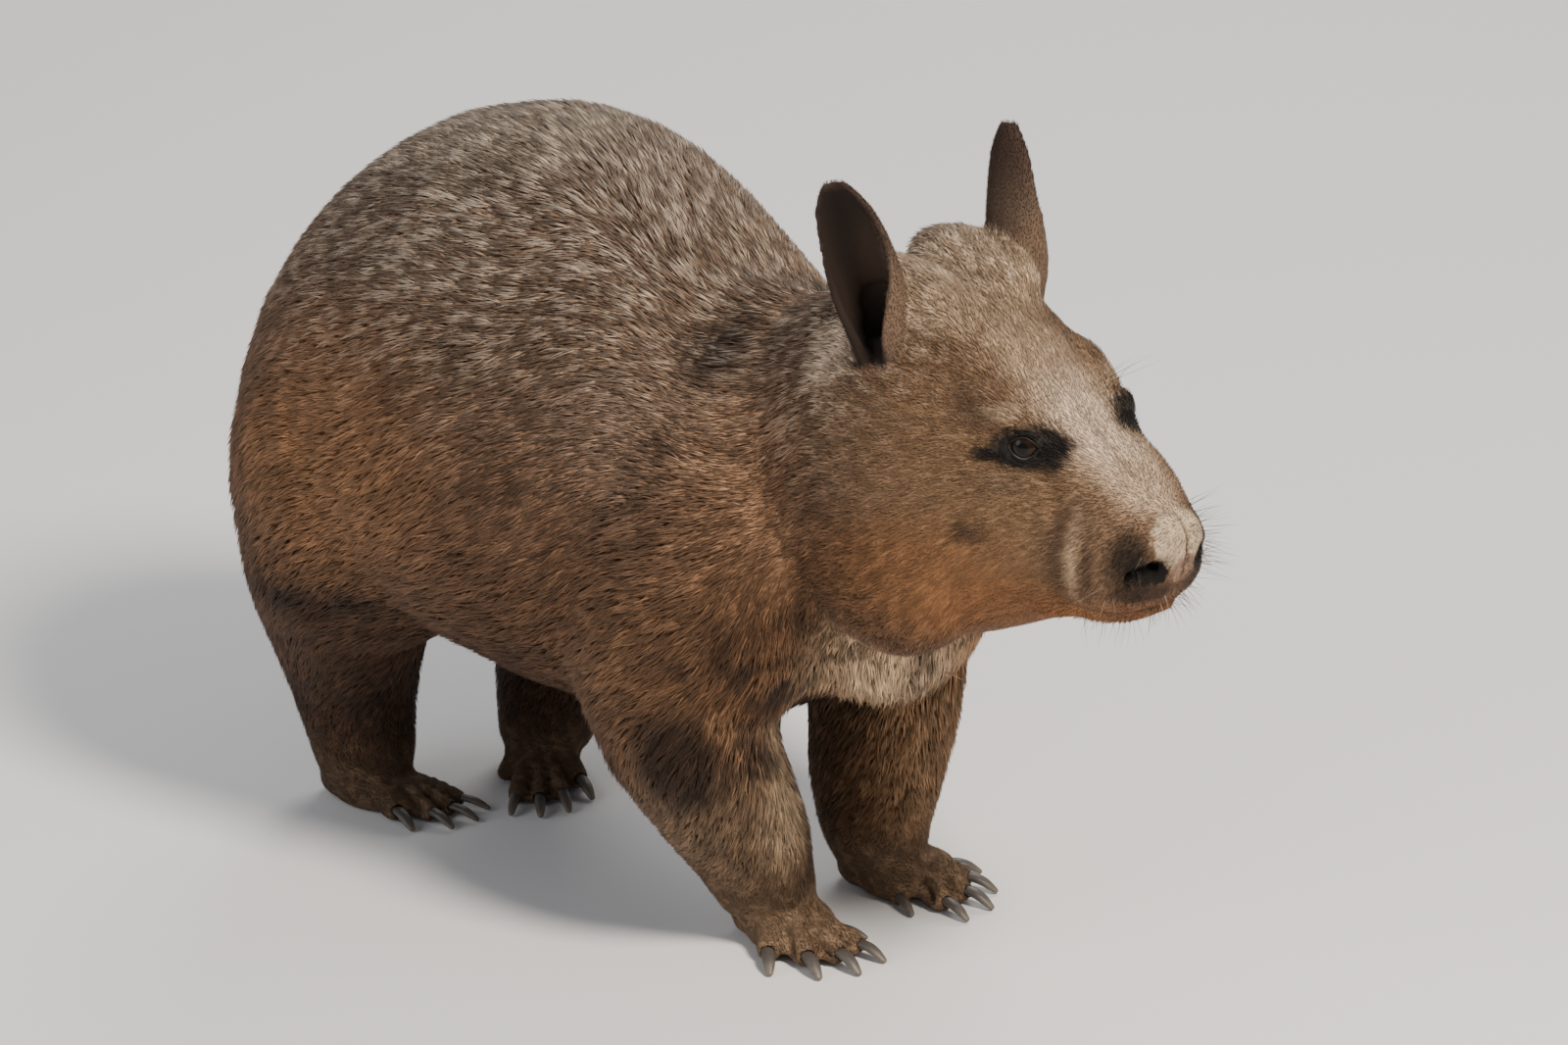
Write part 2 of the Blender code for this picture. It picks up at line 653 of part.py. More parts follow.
def foot_parts(flesh, claws):
    """The four feet below the ankle cut, each with sockets for its claws, and the claws."""
    level = Vector((0, 0, ANKLE_LEVEL))
    up = Vector((0, 0, 1))
    below = sliced("below", flesh, level, -up, -MARGIN)
    for kind, places in (("fore", FOREFEET), ("hind", HINDFEET)):
        for side_name, (place, _) in places.items():
            near = thinned(nearest_body("near", below, Vector((*place, 0.02))), FOOT_TRIANGLES)
            lower = sliced("lower", near, level, -up, GAP / 2)
            piece = sliced(f"{kind}foot_{side_name}", lower, Vector((0, 0, SOLE_LEVEL)), up, 0.0)
            for scrap in (near, lower):
                bpy.data.objects.remove(scrap)
            for name, root, heading, radius in claws:
                if name.startswith(f"claw_{kind}_{side_name}"):
                    carved(piece, claw("claw_cut", root, heading, CLAW_LENGTH, radius, GAP))
                    finish(claw(name, root, heading, CLAW_LENGTH, radius), CLAW_SLATE)
            largest_body(piece)
            finish(piece, FUR_DARK)
    bpy.data.objects.remove(below)


def nearest_body(name, piece, point):
    """The one connected surface of the piece that comes closest to a point."""
    bm = bmesh.new()
    bm.from_mesh(piece.data)
    start = min(bm.faces, key=lambda face: (face.calc_center_median() - point).length)
    group, front = {start}, [start]
    while front:
        for edge in front.pop().edges:
            for neighbour in edge.link_faces:
                if neighbour not in group:
                    group.add(neighbour)
                    front.append(neighbour)
    bmesh.ops.delete(bm, geom=[face for face in bm.faces if face not in group], context="FACES")
    return object_of(name, bm)


def ear_rings(side, rows, wall_share):
    """Rings of the ear round its hollow; wall_share 0 gives the filled hollow itself."""
    base, tip = mirrored(EAR_BASE, side), mirrored(EAR_TIP, side)
    up = (tip - base).normalized()
    facing = mirrored(EAR_FACING, side)
    facing = (facing - up * facing.dot(up)).normalized()
    across = up.cross(facing)
    rings = []
    for share, half, depth, wall, wrap in rows:
        middle = base + (tip - base) * share + Vector((EAR_BOW * math.sin(math.pi * share), 0, 0))
        outer, inner = [], []
        for k in range(9):
            angle = math.radians(-wrap + (180 + 2 * wrap) * k / 8)
            c, s = math.cos(angle), math.sin(angle)
            outer.append(middle + across * half * c - facing * depth * s)
            inner.append(middle + across * (half - wall) * c - facing * (depth - wall) * s)
        rings.append(outer + inner[::-1] if wall_share else inner)
    return rings


def ear(name, side):
    """A cupped ear, open to the front and outside, with a thin rounded rim."""
    return carry_head([loft(name, ear_rings(side, smooth_rows(EAR_SECTIONS, 2), 1))])[0]


def concha(side):
    """The filled hollow of the ear, which also cuts a pit into the head."""
    rows = [row for row in smooth_rows(EAR_SECTIONS, 2) if CONCHA[0] <= row[0] <= CONCHA[1]]
    return carry_head([loft("concha", ear_rings(side, rows, 0))])[0]


def settle_on_origin():
    """Shifts everything so that the origin is the middle of the base."""
    pieces = [found for found in bpy.data.objects if found.type == "MESH"]
    corners = np.array([vertex.co for piece in pieces for vertex in piece.data.vertices])
    low, high = corners.min(0), corners.max(0)
    shift = Vector((-(low[0] + high[0]) / 2, -(low[1] + high[1]) / 2, -low[2]))
    for piece in pieces:
        piece.data.transform(Matrix.Translation(shift))
        piece.data.shade_smooth()
        piece.data.set_sharp_from_angle(angle=math.radians(40))
    print("moved by", [round(value, 5) for value in shift], "to stand on the origin")


def main():
    clear_scene()
    flesh, claws = flesh_and_claws()
    head_and_ears(flesh)
    body_parts(flesh)
    foot_parts(flesh, claws)
    for side, side_name in ((-1, "right"), (1, "left")):
        centre = head_place(mirrored(EYE_PLACE, side))
        finish(blob(f"eye_{side_name}", centre, (EYE_RADIUS,) * 3, detail=2), EYE_BLACK)
    bpy.data.objects.remove(flesh)
    settle_on_origin()


main()
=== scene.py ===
import math

import bmesh
import bpy
import numpy as np
from mathutils import Matrix, Vector
from mathutils.bvhtree import BVHTree
from mathutils.kdtree import KDTree


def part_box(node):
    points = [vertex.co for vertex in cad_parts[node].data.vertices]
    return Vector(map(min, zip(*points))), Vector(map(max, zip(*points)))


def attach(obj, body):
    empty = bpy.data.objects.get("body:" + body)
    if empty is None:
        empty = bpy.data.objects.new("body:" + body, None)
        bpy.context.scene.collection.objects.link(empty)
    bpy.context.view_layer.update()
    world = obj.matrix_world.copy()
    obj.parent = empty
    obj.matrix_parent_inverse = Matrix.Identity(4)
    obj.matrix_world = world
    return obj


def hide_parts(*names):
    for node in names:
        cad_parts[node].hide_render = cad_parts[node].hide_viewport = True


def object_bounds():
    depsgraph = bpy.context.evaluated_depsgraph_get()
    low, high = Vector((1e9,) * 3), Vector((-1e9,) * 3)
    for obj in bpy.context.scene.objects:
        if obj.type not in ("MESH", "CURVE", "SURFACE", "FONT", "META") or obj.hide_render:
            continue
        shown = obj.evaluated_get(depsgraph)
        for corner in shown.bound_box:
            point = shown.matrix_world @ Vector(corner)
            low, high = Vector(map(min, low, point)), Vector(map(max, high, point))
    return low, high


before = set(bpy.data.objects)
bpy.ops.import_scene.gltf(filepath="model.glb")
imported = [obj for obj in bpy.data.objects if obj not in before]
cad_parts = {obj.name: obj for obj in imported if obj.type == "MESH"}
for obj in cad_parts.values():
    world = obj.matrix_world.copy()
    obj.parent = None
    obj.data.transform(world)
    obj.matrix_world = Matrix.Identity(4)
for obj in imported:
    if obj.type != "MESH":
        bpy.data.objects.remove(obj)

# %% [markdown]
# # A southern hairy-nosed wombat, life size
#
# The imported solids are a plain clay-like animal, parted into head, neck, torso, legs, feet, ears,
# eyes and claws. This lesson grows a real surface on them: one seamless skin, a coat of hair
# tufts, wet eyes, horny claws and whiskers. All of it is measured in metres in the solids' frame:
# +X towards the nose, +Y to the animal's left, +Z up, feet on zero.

CAD_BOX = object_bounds()
SIDES = (("right", -1), ("left", 1))
low, high = ([round(c, 3) for c in corner] for corner in CAD_BOX)
print("the solids reach from", low, "to", high)

# %% [markdown]
# ## The head's own frame
#
# A wombat's face is easiest to describe with the head held straight, but this animal looks a
# little to its right. The two eyes say how the head is carried: the line through them is its
# sideways axis. A point given for the straight head is then turned and moved with three vectors.

# %% The head's axes from its eyes
EYE_AHEAD, EYE_SIDE, EYE_LEVEL = 0.1422, 0.0352, 0.3440
EYE_RADIUS = 0.0090


def middle_of(node):
    low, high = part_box(node)
    return (low + high) / 2


EYE_CENTRES = {side: middle_of(f"eye_{side}") for side, _ in SIDES}
sideways = (EYE_CENTRES["left"] - EYE_CENTRES["right"]).normalized()
ahead = sideways.cross(Vector((0, 0, 1))).normalized()
HEAD_TURN = Matrix((ahead, sideways, ahead.cross(sideways))).transposed()
between_eyes = (EYE_CENTRES["left"] + EYE_CENTRES["right"]) / 2
HEAD_ZERO = between_eyes - HEAD_TURN @ Vector((EYE_AHEAD, 0, EYE_LEVEL))


def on_head(x, y, z):
    """A point of the straight head, where the animal carries it."""
    return HEAD_ZERO + HEAD_TURN @ Vector((x, y, z))


def head_frame(places):
    """Many points at once, taken back to the straight head."""
    return (places - np.array(HEAD_ZERO)) @ np.array(HEAD_TURN)


print("the head is turned", round(math.degrees(math.atan2(ahead.y, ahead.x)), 1), "degrees")

# %% [markdown]
# ## Camera, floor and light
#
# The photograph looks at the animal from its right front and a little from above, through a long
# lens, so there is hardly any perspective. A pale floor and large soft lamps stand in for its
# paving and sun: a warm main light from high on the camera's right, as there, and a weak cool
# fill from the other side.

# %% The camera
VIEW_TURN, VIEW_RISE, VIEW_DISTANCE = math.radians(40.0), math.radians(21.5), 3.6
VIEW_TARGET = Vector((0.0390, 0.0001, 0.2305))
PIXELS_PER_METRE, FRAME_WIDTH = 1850, 1600

towards_camera = Vector((
    math.sin(VIEW_TURN) * math.cos(VIEW_RISE),
    -math.cos(VIEW_TURN) * math.cos(VIEW_RISE),
    math.sin(VIEW_RISE),
))
camera_data = bpy.data.cameras.new("camera")
camera_data.sensor_width = 36.0
camera_data.lens = PIXELS_PER_METRE * VIEW_DISTANCE * camera_data.sensor_width / FRAME_WIDTH
camera = bpy.data.objects.new("camera", camera_data)
camera.location = VIEW_TARGET + towards_camera * VIEW_DISTANCE
camera.rotation_euler = (-towards_camera).to_track_quat("-Z", "Y").to_euler()
bpy.context.scene.collection.objects.link(camera)
bpy.context.scene.camera = camera
print("the lens is", round(camera_data.lens, 1), "mm")


# %% Helpers for meshes
def piece_of(name, bm, smooth=True):
    """Makes the bmesh an object of the scene, in place, at the origin."""
    mesh = bpy.data.meshes.new(name)
    bm.to_mesh(mesh)
    bm.free()
    mesh.polygons.foreach_set("use_smooth", [smooth] * len(mesh.polygons))
    made = bpy.data.objects.new(name, mesh)
    bpy.context.scene.collection.objects.link(made)
    return made


def settled(piece):
    """Replaces the piece's mesh by what its modifiers make of it."""
    graph = bpy.context.evaluated_depsgraph_get()
    mesh = bpy.data.meshes.new_from_object(piece.evaluated_get(graph))
    piece.modifiers.clear()
    piece.data = mesh
    return piece


def merged_copy(node, swell=0.0):
    """The node's mesh with its loose triangles merged, moved out along its normals by swell."""
    bm = bmesh.new()
    bm.from_mesh(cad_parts[node].data)
    bmesh.ops.remove_doubles(bm, verts=bm.verts, dist=0.00001)
    bm.normal_update()
    for vertex in bm.verts:
        vertex.co += vertex.normal * swell
    return bm


def aim(thing, target):
    thing.rotation_euler = (Vector(target) - thing.location).to_track_quat("-Z", "Y").to_euler()
    return thing


# %% The floor and the lamps
floor_bm = bmesh.new()
bmesh.ops.create_grid(floor_bm, x_segments=2, y_segments=2, size=6.0)
floor = piece_of("floor", floor_bm, smooth=False)

LAMPS = (
    # name, place, size, power in watts, colour
    ("main_lamp", (2.1, -0.45, 2.6), 0.8, 150.0, (1.0, 0.91, 0.80)),
    ("fill_lamp", (-1.2, -2.8, 1.6), 2.2, 30.0, (0.95, 0.97, 1.0)),
    ("back_lamp", (-1.2, 2.2, 2.4), 1.6, 42.0, (1.0, 0.96, 0.90)),
)
for name, place, size, power, colour in LAMPS:
    lamp_data = bpy.data.lights.new(name, "AREA")
    lamp_data.shape = "DISK"
    lamp_data.size = size
    lamp_data.energy = power
    lamp_data.color = colour
    lamp = bpy.data.objects.new(name, lamp_data)
    lamp.location = place
    bpy.context.scene.collection.objects.link(aim(lamp, (0.05, 0, 0.2)))

world = bpy.data.worlds.new("studio")
world.use_nodes = True
world.node_tree.nodes["Background"].inputs["Color"].default_value = (0.93, 0.94, 1.0, 1.0)
world.node_tree.nodes["Background"].inputs["Strength"].default_value = 0.36
bpy.context.scene.world = world
print(len(LAMPS), "lamps")

# %% [markdown]
# ## One skin
#
# On the animal no seam shows between leg and body, so the skin can't be a repainted copy of the
# parted solids. They are copied, swollen by half a millimetre so that they run into each other,
# and melted with a Voxel Remesh, which keeps only what is outside. A Smooth takes off its steps.
# A Decimate then thins the back and flanks, which the coat hides, and leaves the face, ears and
# feet dense.

# %% Melt the flesh into one closed skin
PARTS = ("ear", "foreleg", "forefoot", "hindleg", "hindfoot")
FLESH = ["torso", "neck", "head", "tail"] + [f"{part}_{side}" for part in PARTS for side, _ in SIDES]
SWELL = 0.0006
# The thin walls of the ears are swollen more, so that the melt keeps their rims
EAR_SWELL = 0.0014
SKIN_VOXEL = 0.0017
SKIN_TRIANGLES = 130000


def with_all(target, bm):
    """Adds one bmesh to another and frees it."""
    mesh = bpy.data.meshes.new("part")
    bm.to_mesh(mesh)
    bm.free()
    target.from_mesh(mesh)
    bpy.data.meshes.remove(mesh)


flesh_bm = bmesh.new()
for node in FLESH:
    with_all(flesh_bm, merged_copy(node, EAR_SWELL if node.startswith("ear") else SWELL))
for centre in EYE_CENTRES.values():
    plug = Matrix.Translation(centre)
    bmesh.ops.create_icosphere(flesh_bm, subdivisions=3, radius=EYE_RADIUS + 0.0008, matrix=plug)
skin = piece_of("skin", flesh_bm)
melt = skin.modifiers.new("melt", "REMESH")
melt.mode = "VOXEL"
melt.voxel_size = SKIN_VOXEL
relax = skin.modifiers.new("relax", "SMOOTH")
relax.factor = 0.5
relax.iterations = 3
settled(skin)
print("melted skin:", len(skin.data.polygons), "faces")

# %% Regions of the animal, as smooth shares of one
def ramp(value, low, high):
    """0 at low, 1 at high, smooth between them, also for a falling ramp."""
    share = np.clip((value - low) / (high - low), 0, 1)
    return share * share * (3 - 2 * share)


def points_of(mesh, field="co"):
    flat = np.empty(len(mesh.vertices) * 3, np.float32)
    if field == "normal":
        mesh.vertex_normals.foreach_get("vector", flat)
    else:
        mesh.vertices.foreach_get("co", flat)
    return flat.reshape(-1, 3).astype(float)


def both_sides(local):
    """Points of the straight head, those of the right half mirrored to the left."""
    return np.column_stack((local[:, 0], np.abs(local[:, 1]), local[:, 2]))


def set_points(mesh, places):
    mesh.vertices.foreach_set("co", places.astype(np.float32).ravel())
    mesh.update()


# %% Thin the skin under the coat
places = points_of(skin.data)
ahead_of_ears = head_frame(places)[:, 0]
under_coat = ramp(ahead_of_ears, 0.03, -0.02) * ramp(places[:, 2], 0.040, 0.055)
thinning = skin.vertex_groups.new(name="thinning")
for step in range(11):
    chosen = np.nonzero(np.round(under_coat * 10) == step)[0]
    thinning.add([int(i) for i in chosen], max(step / 10, 0.02), "REPLACE")
thin = skin.modifiers.new("thin", "DECIMATE")
triangles = sum(len(face.vertices) - 2 for face in skin.data.polygons)
thin.ratio = min(1.0, SKIN_TRIANGLES / triangles)
thin.vertex_group = thinning.name
thin.vertex_group_factor = 1.0
settled(skin)
skin.vertex_groups.clear()
print("thinned skin:", len(skin.data.polygons), "faces")

# %% [markdown]
# ## How deep the coat lies
#
# The solids reach out to the tips of the hair. The skin lies inside them by the depth of the coat:
# deepest on the breast, back and rump, shallow on the face and feet, and least on nose and ears.
# One function gives the length of the hair anywhere, and both the skin's depth and the tufts
# use it, so that the tips end where the solids do.

# %% Length of the hair, and the skin sunk under it
# Hair length along the straight head, from behind the ears to the nose
HEAD_STATIONS = (-0.04, 0.02, 0.06, 0.10, 0.14, 0.17, 0.19, 0.21)
HEAD_HAIR = (0.0125, 0.0090, 0.0066, 0.0056, 0.0046, 0.0038, 0.0030, 0.0020)
# Hair length up the legs, from the floor
LEG_LEVELS = (0.000, 0.012, 0.030, 0.042, 0.060, 0.090, 0.130, 0.200)
LEG_HAIR = (0.0015, 0.0022, 0.0030, 0.0048, 0.0080, 0.011, 0.0135, 0.0140)
BODY_HAIR, BREAST_HAIR_MORE = 0.0130, 0.010
EAR_HAIR = 0.0028
# How far a hair's tip stands off the skin, as a share of its length
LIFT_SHARE = 0.30

EAR_TREES = [BVHTree.FromBMesh(merged_copy(f"ear_{side}")) for side, _ in SIDES]


def ear_share(places):
    """1 on an ear and 0 elsewhere, from the distance to the solids of the ears."""
    shares = np.zeros(len(places))
    lows = [np.array(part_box(f"ear_{side}")[0]) - 0.004 for side, _ in SIDES]
    highs = [np.array(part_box(f"ear_{side}")[1]) + 0.004 for side, _ in SIDES]
    for tree, low, high in zip(EAR_TREES, lows, highs):
        for i in np.nonzero(((places > low) & (places < high)).all(1))[0]:
            gap = tree.find_nearest(Vector(places[i]))[3]
            shares[i] = max(shares[i], 1 - min(1.0, max(0.0, gap - 0.0015) / 0.0025))
    return shares


# The left ear on the straight head: its foot, its tip and the way that its hollow faces
EAR_BASE, EAR_TIP = (0.055, 0.049, 0.366), (0.034, 0.067, 0.470)
EAR_FACING = (0.260, 0.966, 0.0)
# Half width and depth of an ear's hollow, at shares of its height
CUP_SHARES = (0.05, 0.20, 0.38, 0.55, 0.72, 0.86, 0.96)
CUP_WIDTHS = (0.0110, 0.0140, 0.0180, 0.0198, 0.0190, 0.0155, 0.0090)
CUP_DEPTHS = (0.0130, 0.0140, 0.0140, 0.0120, 0.0095, 0.0070, 0.0040)


def cup_share(places, ears):
    """1 in the hollow of an ear and on the head just under it, 0 elsewhere."""
    local = both_sides(head_frame(places))
    base, tip = np.array(EAR_BASE), np.array(EAR_TIP)
    height = np.linalg.norm(tip - base)
    up = (tip - base) / height
    facing = np.array(EAR_FACING) - up * (np.array(EAR_FACING) @ up)
    facing /= np.linalg.norm(facing)
    from_base = local - base
    share = from_base @ up / height
    wide = from_base @ np.cross(up, facing) / np.interp(share, CUP_SHARES, CUP_WIDTHS)
    deep = from_base @ facing / np.interp(share, CUP_SHARES, CUP_DEPTHS)
    deep = np.where(deep > 0, deep / 1.8, deep)
    # The head reaches through the ear's wall, so what isn't ear counts a little farther out
    rim = 1.00 + 0.35 * (1 - ears) * ramp(share, 0.50, 0.45)
    inside = ramp(np.hypot(wide, deep) / rim, 1.00, 0.86)
    return inside * ramp(share, 0.04, 0.10) * ramp(share, 0.985, 0.95)


def hair_length(places, ears):
    local = head_frame(places)
    length = np.full(len(places), BODY_HAIR)
    up_leg = np.interp(places[:, 2], LEG_LEVELS, LEG_HAIR)
    on_leg = ramp(places[:, 2], 0.20, 0.13)
    length += (up_leg - length) * on_leg
    on_breast = ramp(places[:, 0], 0.075, 0.11)
    on_breast = on_breast * ramp(places[:, 2], 0.10, 0.13) * ramp(places[:, 2], 0.24, 0.21)
    length += BREAST_HAIR_MORE * on_breast
    along_head = np.interp(local[:, 0], HEAD_STATIONS, HEAD_HAIR)
    on_head = ramp(local[:, 0], -0.04, 0.03) * ramp(local[:, 2], 0.16, 0.215)
    length += (along_head - length) * on_head
    return length + (EAR_HAIR - length) * ears


places = points_of(skin.data)
ears = ear_share(places)
depth = hair_length(places, ears) * LIFT_SHARE * 0.9 + SWELL
depth[ears > 0.5] = EAR_SWELL * 0.5
set_points(skin.data, places - points_of(skin.data, "normal") * depth[:, None])
print("the skin lies", round(depth.min() * 1000, 1), "to", round(depth.max() * 1000, 1), "mm deep")

# %% [markdown]
# ## Lids, nostrils and mouth
#
# The melt left only soft dents for the eyes, nostrils and mouth. The faces round them are split
# finer, and their vertices are then moved by rules, as a sculptor's brush would: onto a ball a
# little larger than the eye for the lids, behind the eyeball inside the almond slit, and inwards
# along short paths for the nostrils, the groove of the nose and the mouth.

# %% Finer faces round the features
NOSTRIL = ((0.2110, 0.0250, 0.2850), (0.2180, 0.0180, 0.2880), (0.2150, 0.0110, 0.2920))
NOSE_GROOVE = (
    (0.2180, 0.0, 0.3200), (0.2240, 0.0, 0.3040), (0.2255, 0.0, 0.2920), (0.2210, 0.0, 0.2760),
)
MOUTH = (
    (0.2045, 0.0, 0.2650),
    (0.1990, 0.0120, 0.2630),
    (0.1860, 0.0215, 0.2600),
    (0.1690, 0.0290, 0.2565),
    (0.1540, 0.0350, 0.2575),
)


def refined(piece, spots):
    """Splits the edges near each centre, within its radius, in two."""
    bm = bmesh.new()
    bm.from_mesh(piece.data)
    for centre, radius in spots:
        close = {v for v in bm.verts if (v.co - centre).length < radius}
        edges = [e for e in bm.edges if e.verts[0] in close and e.verts[1] in close]
        bmesh.ops.subdivide_edges(bm, edges=edges, cuts=1, use_grid_fill=True)
    bmesh.ops.triangulate(bm, faces=[f for f in bm.faces if len(f.verts) > 3])
    bm.to_mesh(piece.data)
    bm.free()
    piece.data.polygons.foreach_set("use_smooth", [True] * len(piece.data.polygons))


near_eyes = [(centre, reach) for centre in EYE_CENTRES.values() for reach in (0.021, 0.0155)]
near_nose = [(on_head(0.214, 0, 0.292), reach) for reach in (0.034, 0.028)]
refined(skin, near_eyes + near_nose)
print("skin with fine features:", len(skin.data.polygons), "faces")


# %% Lids
SLIT_HALF_WIDTH, SLIT_HALF_HEIGHT = 0.0084, 0.0060
LID = 0.0013
BEHIND_BALL = 0.0024
EYE_LOOKS = {side: (HEAD_TURN @ Vector((0.50, 0.86 * sign, 0.10))).normalized() for side, sign in SIDES}


def eye_axes(side):
    """Forwards along the lids, up across them, and out along the look."""
    look = EYE_LOOKS[side]
    along = (ahead - look * ahead.dot(look)).normalized()
    up = along.cross(look) if side == "left" else look.cross(along)
    return along, up * (1 if up.z > 0 else -1), look


def almond_of(wide, high):
    """1 on the edge of the slit between the lids; its corners are drawn out to points."""
    return np.abs(wide) ** 1.7 + (np.abs(high) * (1 + 0.22 * wide**2)) ** 1.7


def lidded(places, side):
    """Moves the skin round one eye: lids over the ball, and a slit that opens on it."""
    centre = np.array(EYE_CENTRES[side])
    along, up, look = (np.array(axis) for axis in eye_axes(side))
    from_centre = places - centre
    reach = np.linalg.norm(from_centre, axis=1)
    near = (reach < 0.026) & (from_centre @ look > -0.002)
    out, far = from_centre[near], reach[near]
    wide = out @ along / SLIT_HALF_WIDTH
    high = out @ up / SLIT_HALF_HEIGHT
    almond = almond_of(wide, high)
    # The lid is drawn onto the ball, and everywhere else the skin clears the ball by its thickness
    drawn = ramp(almond, 2.6, 1.15)
    reach_wanted = far + (EYE_RADIUS + LID - far) * drawn
    reach_wanted = np.maximum(reach_wanted, EYE_RADIUS + LID)
    # A fold above the upper lid, a fainter one below the lower
    fold = np.exp(-(((almond - 3.6) / 0.7) ** 2))
    reach_wanted -= fold * (0.0013 * ramp(high, 0.4, 1.2) + 0.0007 * ramp(-high, 0.4, 1.2))
    inside = ramp(almond, 1.02, 0.80)
    reach_wanted += (EYE_RADIUS - BEHIND_BALL - reach_wanted) * inside
    moved = places.copy()
    moved[near] = centre + out * (reach_wanted / far)[:, None]
    return moved


places = points_of(skin.data)
for side, _ in SIDES:
    places = lidded(places, side)
set_points(skin.data, places)
print("lids shaped over eyes of", EYE_RADIUS * 2000, "mm")


# %% Nostrils, nose groove, mouth and folds
def distance_to_path(places, path):
    """From each point to the nearest stretch of a path."""
    best = np.full(len(places), np.inf)
    for start, end in zip(path, path[1:]):
        start, stretch = np.array(start), np.array(end) - np.array(start)
        share = np.clip(((places - start) @ stretch) / (stretch @ stretch), 0, 1)
        best = np.minimum(best, np.linalg.norm(places - start - share[:, None] * stretch, axis=1))
    return best


NOSTRIL_WIDTH, NOSTRIL_DEPTH = 0.0042, 0.0085
LIP_FOLD = ((0.166, 0.041, 0.318), (0.171, 0.041, 0.300), (0.172, 0.039, 0.282), (0.166, 0.037, 0.266))
CROWN_FURROW = ((0.035, 0.0, 0.420), (0.068, 0.0, 0.410), (0.105, 0.0, 0.394))
FURROWS = (
    # path on the straight head, width, depth
    (NOSE_GROOVE, 0.0014, 0.0020),
    (NOSE_GROOVE[2:], 0.0020, 0.0022),
    (MOUTH, 0.0015, 0.0026),
    (LIP_FOLD, 0.0035, 0.0012),
    (CROWN_FURROW, 0.009, 0.0016),
)
# Folds of the body, on its right half: path, width, depth
BODY_FOLDS = (
    (((0.028, -0.080, 0.325), (0.036, -0.055, 0.346), (0.047, -0.020, 0.360)), 0.010, 0.0045),
    (((-0.240, -0.140, 0.190), (-0.190, -0.146, 0.180), (-0.145, -0.112, 0.146)), 0.010, 0.0045),
    (((0.020, -0.130, 0.190), (0.045, -0.118, 0.150)), 0.012, 0.0030),
)
places, normals = points_of(skin.data), points_of(skin.data, "normal")
local = both_sides(head_frame(places))
inwards = np.array(HEAD_TURN @ Vector((-1, 0, 0.15)))
pit = np.exp(-((distance_to_path(local, NOSTRIL) / NOSTRIL_WIDTH) ** 2))
moved = places + inwards * (NOSTRIL_DEPTH * pit)[:, None]
for path, width, depth in FURROWS:
    pressed = np.exp(-((distance_to_path(local, path) / width) ** 2))
    moved -= normals * (depth * pressed)[:, None]
mirrored_places = np.column_stack((places[:, 0], -np.abs(places[:, 1]), places[:, 2]))
for path, width, depth in BODY_FOLDS:
    pressed = np.exp(-((distance_to_path(mirrored_places, path) / width) ** 2))
    moved -= normals * (depth * pressed)[:, None]
set_points(skin.data, moved)
print("nostrils,", len(FURROWS) + len(BODY_FOLDS), "grooves and folds pressed in")

# %% [markdown]
# ## Toes
#
# The toes are short and touch each other, so they show by the gaps between them and by the
# wrinkles over their joints. The claws say where each toe runs: from the middle of the foot to
# the root of its claw.

# %% Gaps between the toes, and wrinkles over their joints
FEET = [(kind, side) for kind in ("fore", "hind") for side, _ in SIDES]
GAP_WIDTH, GAP_DEPTH = 0.0026, 0.0058
WRINKLE_WIDTH, WRINKLE_DEPTH = 0.0014, 0.0008
# Wrinkles across a toe, measured back from the root of its claw
WRINKLES = (0.0045, 0.0105, 0.0170)


def claws_of(kind, side):
    """Middles of a foot's claws, in the order of their toes."""
    nodes = sorted(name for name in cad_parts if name.startswith(f"claw_{kind}_{side}_"))
    return [np.array(middle_of(node)) for node in nodes]


places, normals = points_of(skin.data), points_of(skin.data, "normal")
moved = places.copy()
for kind, side in FEET:
    low, high = (np.array(corner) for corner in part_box(f"{kind}foot_{side}"))
    foot = ((places > low - 0.004) & (places < high + 0.004)).all(1)
    spots, outwards = places[foot], normals[foot]
    ankle = (low + high) / 2
    claws = claws_of(kind, side)
    tops = ramp(outwards[:, 2], -0.5, 0.2)
    flat_spots = spots * np.array((1, 1, 0))
    pressed = np.zeros(len(spots))
    for one, other in zip(claws, claws[1:]):
        front = (one + other) / 2
        back = ankle + (front - ankle) * 0.40
        path = [point * np.array((1, 1, 0)) for point in (back, front)]
        along = (flat_spots - path[0]) @ (path[1] - path[0]) / np.sum((path[1] - path[0]) ** 2)
        gap = np.exp(-((distance_to_path(flat_spots, path) / GAP_WIDTH) ** 2))
        pressed += GAP_DEPTH * gap * np.clip(along, 0, 1)
    for claw in claws:
        way = (ankle - claw) * np.array((1, 1, 0))
        way /= np.linalg.norm(way)
        back = (spots - claw) @ way - 0.009
        aside = np.abs((spots - claw) @ np.array((-way[1], way[0], 0)))
        for place in WRINKLES:
            across = np.exp(-(((back - place) / WRINKLE_WIDTH) ** 2))
            pressed += WRINKLE_DEPTH * across * ramp(aside, 0.0075, 0.005) * tops
    moved[foot] = spots - outwards * (pressed * tops)[:, None]
set_points(skin.data, moved)
print("toes parted on", len(FEET), "feet")
